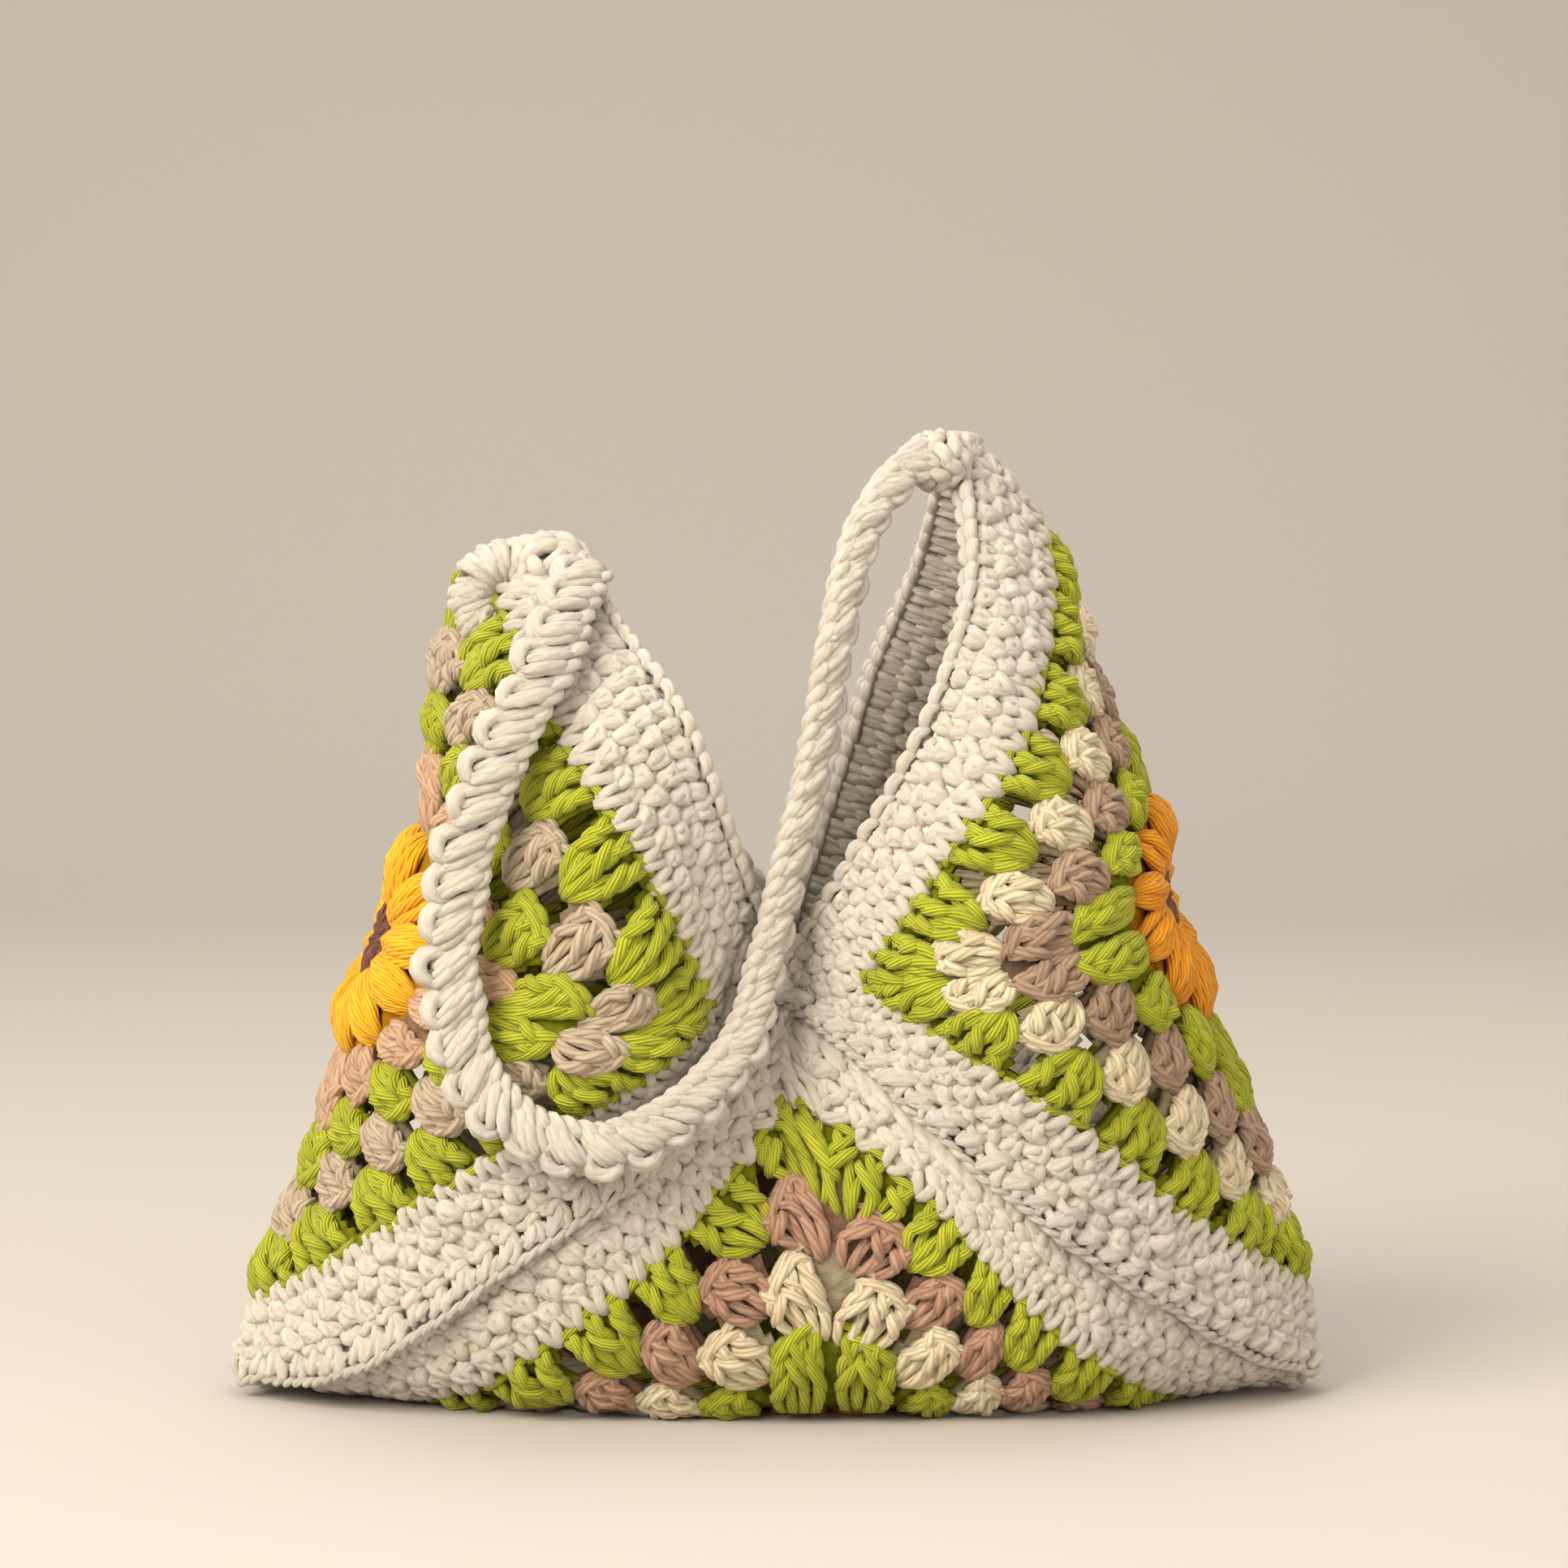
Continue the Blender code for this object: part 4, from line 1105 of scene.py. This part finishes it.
def knot(lot, place, size):
    # Short bent strands all over a small lump.
    many = tipShape["knotStrands"]
    turn = (np.arange(many) + 0.5) * math.pi * (3 - math.sqrt(5))
    rise = 1 - 2 * (np.arange(many) + 0.5) / many
    flat = np.sqrt(1 - rise**2)
    away = np.stack([flat * np.cos(turn), flat * np.sin(turn), rise], axis=1)
    middle = np.array(place) + away * np.array(size)
    side = unit(np.cross(away, rand.normal(0, 1, (many, 3))))[:, None]
    away = away[:, None]
    bend = np.linspace(-1, 1, 6)
    points = middle[:, None] + side * (bend * 0.5 * min(size))[:, None] - away * (bend**2 * 1.5)[:, None]
    thick = tipShape["yarn"] * mm * np.interp(bend, (-1, -0.5, 0.5, 1), (0.7, 1.25, 1.25, 0.7))
    spin(lot, points * mm + shift, np.broadcast_to(away, points.shape), thick, uneven=0.09)


# Name, CAD node, sides that it follows, and how far it rises and reaches out on a standing square.
for name, node, sides, rise, reach in (
    ("leftSeam", "left_seam", (("left", 2), ("left", 1), ("base", 3), ("base", 0)), 3.4, 0.0022),
    ("rightSeam", "right_seam", (("right", 3), ("right", 0), ("base", 2), ("base", 1)), 2.8, 0.0010),
    ("leftRim", "left_rim", (("left", 3), ("left", 0)), 0.0, 0.0),
    ("rightRim", "right_rim", (("right", 2), ("right", 1)), 0.0, 0.0),
):
    lot = newLot()
    for owner, quarter in sides:
        lift, out = (0.0, -0.0010) if owner == "base" else (rise, reach)
        edgeRow(lot, cloths[owner], quarter, lift, out, "Seam" in name)
    if name == "leftRim":
        tipRing(lot)
    knot(lot, *knots[name])
    made = finishLot(name, lot, yarns["white"])
    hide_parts(node)
print("seams and rims worked")

strapStitches = {
    "row": 0.0070,  # length of one pair of worked rows
    "knob": 2.2,  # radius of the loops along its edges, in mm
    "yarn": 1.12,
    "outer": -0.0026,  # middle of the outermost strand, across the strap
    "inner": 0.0046,
    "at": (0.0, 0.08, 0.36, 0.50, 0.65, 1.0),  # share of the strap's length,
    "width": (1.1, 1.24, 1.24, 1.0, 0.74, 0.74),  # and of its width there
    "ridge": (0.5, 1.35, 1.45, 0.7),  # how high the four strands of a bundle lie
    "edgeYarn": 1.2,
    "core": 1.5,
}


def onStrap(across, along, height):
    # Flat places put on the strap: the points and the outward normals there.
    width = np.interp(along / strapWalked[-1], strapStitches["at"], strapStitches["width"])
    across, height = across * width, height * np.sqrt(width)
    middle, aside, lift = [readAt(along, strapWalked, rows) for rows in (strapLine, strapAcross, strapLift)]
    return middle + aside * across[..., None] + lift * height[..., None], lift


def strapPiece():
    shape = strapStitches
    lot = newLot()
    rows = round(strapLong / shape["row"])
    row = strapLong / rows
    outer, inner, knob = shape["outer"], shape["inner"], shape["knob"] * mm
    middles = (np.arange(rows) + 0.5) * row
    at = middles[:, None]
    w = np.linspace(0, 1, 9)
    push = rand.normal(0, 0.25, (rows, 3)) * mm
    size = rand.normal(1, 0.10, (rows, 1))
    lean = rand.normal(0, 0.22, (rows, 1))
    # An ear-shaped loop curls round the outer edge in each pair of rows.
    angle = np.radians(-140 + 250 * w) + lean
    thick = shape["yarn"] * mm * np.interp(w, (0, 0.2, 0.5, 0.8, 1), (0.75, 1.05, 1.2, 1.1, 0.7))
    for face, wide in ((1, 1.0), (-1, 0.9), (0.1, 1.15)):
        x = outer + knob * (1 - np.cos(angle) * wide * size) + push[:, :1]
        y = at + knob * 1.2 * np.sin(angle) * wide + push[:, 1:2]
        height = face * (0.9 + 0.4 * np.cos(angle * 0.7)) * mm + push[:, 2:] * 0.6
        spin(lot, *onStrap(x, y, height), thick * rand.normal(1, 0.07, (rows, 1)), uneven=0.09)
    # From each loop a bundle slants across both faces, so that the rows stand up as soft ridges.
    w = np.linspace(0, 1, 7)
    arch = np.interp(w, (0, 0.25, 0.6, 0.9, 1), (0.6, 1.0, 0.8, 0.5, -0.1))
    thick = shape["yarn"] * mm * np.interp(w, (0, 0.3, 0.8, 1), (0.75, 1.08, 1.0, 0.7))
    for face in (1, -1):
        for k, ridge in enumerate(shape["ridge"]):
            own = rand.normal(0, 0.35, (rows, 2)) * mm
            x = (outer + 0.0014 + (inner - outer - 0.0018) * w) + own[:, :1] * 0.5
            y = at + (k - 1.5) * row / 4.4 + (0.45 - w) * row * 0.75 + own[:, 1:]
            height = face * (arch + ridge * (1 - 0.45 * w)) * mm + push[:, 2:] * 0.5
            spin(lot, *onStrap(x, y, height), thick, uneven=0.09)
    # A turned pair of strands finishes the inner edge.
    y = np.linspace(0, strapLong, rows * 8)[None]
    sway = np.interp(y, middles, rand.normal(0, 0.3, rows))
    for turn in (0, math.pi):
        angle = y / row * 2 * math.pi + turn
        x = inner - 0.0004 + (0.75 * np.cos(angle) + sway) * mm
        spin(lot, *onStrap(x, y, np.sin(angle) * mm), shape["edgeYarn"] * mm, uneven=0.07)
    # The inside of the band.
    y = np.linspace(0, strapLong, 120)[None]
    for place in (outer + 0.002, (outer + inner) / 2, inner - 0.001):
        spin(lot, *onStrap(place + 0 * y, y, 0 * y), shape["core"] * mm)
    made = finishLot("strapStitches", lot, yarns["white"])
    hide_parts("strap")


strapPiece()
print("strap worked", round(strapLong * 1000), "mm long")

stageShape = {
    "color": (0.52, 0.483, 0.436),
    "width": 4.0,
    "front": -1.6,
    "back": 0.9,
    "bend": 0.7,
    "bendSteps": 12,
    "high": 2.4,
}


def studioPaper():
    # One sheet of pale paper: flat where the bag stands, and curved up behind it.
    front, back, bend, steps = [stageShape[key] for key in ("front", "back", "bend", "bendSteps")]
    bpy.ops.object.select_all(action="DESELECT")
    bpy.ops.mesh.primitive_plane_add(size=1, location=(0, 0, 0))
    sheet = bpy.context.object
    sheet.name = "studioFloor"
    sheet.scale = (stageShape["width"], back - front, 1)
    sheet.location = (0, (back + front) / 2, 0)
    bpy.ops.object.transform_apply(location=True, rotation=True, scale=True)
    bpy.ops.object.mode_set(mode="EDIT")
    bpy.ops.mesh.select_mode(type="EDGE")
    bpy.ops.mesh.select_all(action="DESELECT")
    bpy.ops.object.mode_set(mode="OBJECT")
    for edge in sheet.data.edges:
        edge.select = all(sheet.data.vertices[k].co.y > back - 0.01 for k in edge.vertices)
    bpy.ops.object.mode_set(mode="EDIT")
    turns = [math.pi / 2 * k / steps for k in range(steps + 1)]
    moves = []
    for low, high in zip(turns, turns[1:]):
        moves.append((0, (math.sin(high) - math.sin(low)) * bend, (math.cos(low) - math.cos(high)) * bend))
    for move in moves + [(0, 0, stageShape["high"])]:
        bpy.ops.mesh.extrude_region_move(TRANSFORM_OT_translate={"value": move})
    bpy.ops.object.mode_set(mode="OBJECT")
    bpy.ops.object.shade_smooth()
    paper, tree, shader = newMaterial("studioPaper")
    setInputs(tree, shader, {"Base Color": (*stageShape["color"], 1), "Roughness": 0.9})
    sheet.data.materials.append(paper)
    sheet.select_set(False)


studioPaper()

view = {"elevation": 4.0, "distance": 0.9, "field": 18.3, "across": 0.0012, "up": 0.112}


def addCamera():
    tilt = math.radians(view["elevation"])
    up = np.array((0.0, math.sin(tilt), math.cos(tilt)))
    back = np.array((0.0, -math.cos(tilt), math.sin(tilt)))
    target = np.array((view["across"], 0.0, 0.0)) + up * view["up"] + shift
    camera = bpy.data.objects.new("camera", bpy.data.cameras.new("camera"))
    bpy.context.scene.collection.objects.link(camera)
    camera.location = target + back * view["distance"]
    camera.rotation_euler = (math.pi / 2 - tilt, 0, 0)
    camera.data.sensor_width = 36
    camera.data.lens = camera.data.sensor_width / 2 / math.tan(math.radians(view["field"] / 2))
    camera.data.clip_start = 0.01
    bpy.context.scene.camera = camera


addCamera()

# Name, place, size, power in watts and color.
lamps = (
    ("keyLight", (-0.75, -0.80, 0.85), 0.9, 25.0, (1.0, 0.925, 0.82)),
    ("fillLight", (0.9, -0.9, 0.5), 1.4, 7.0, (1.0, 0.90, 0.80)),
    ("topLight", (0.1, 0.3, 1.2), 1.0, 7.0, (1.0, 0.97, 0.93)),
)
room = {"color": (0.80, 0.755, 0.69), "strength": 0.72, "aim": (0, 0, 0.08)}
for name, place, size, power, color in lamps:
    light = bpy.data.lights.new(name, "AREA")
    light.size = size
    light.energy = power
    light.color = color
    lamp = bpy.data.objects.new(name, light)
    bpy.context.scene.collection.objects.link(lamp)
    lamp.location = place
    lamp.rotation_euler = (Vector(room["aim"]) - Vector(place)).to_track_quat("-Z", "Y").to_euler()
world = bpy.data.worlds.new("studio")
world.use_nodes = True
sky = {"Color": (*room["color"], 1), "Strength": room["strength"]}
setInputs(world.node_tree, world.node_tree.nodes["Background"], sky)
bpy.context.scene.world = world
bpy.context.scene.view_settings.view_transform = "Standard"
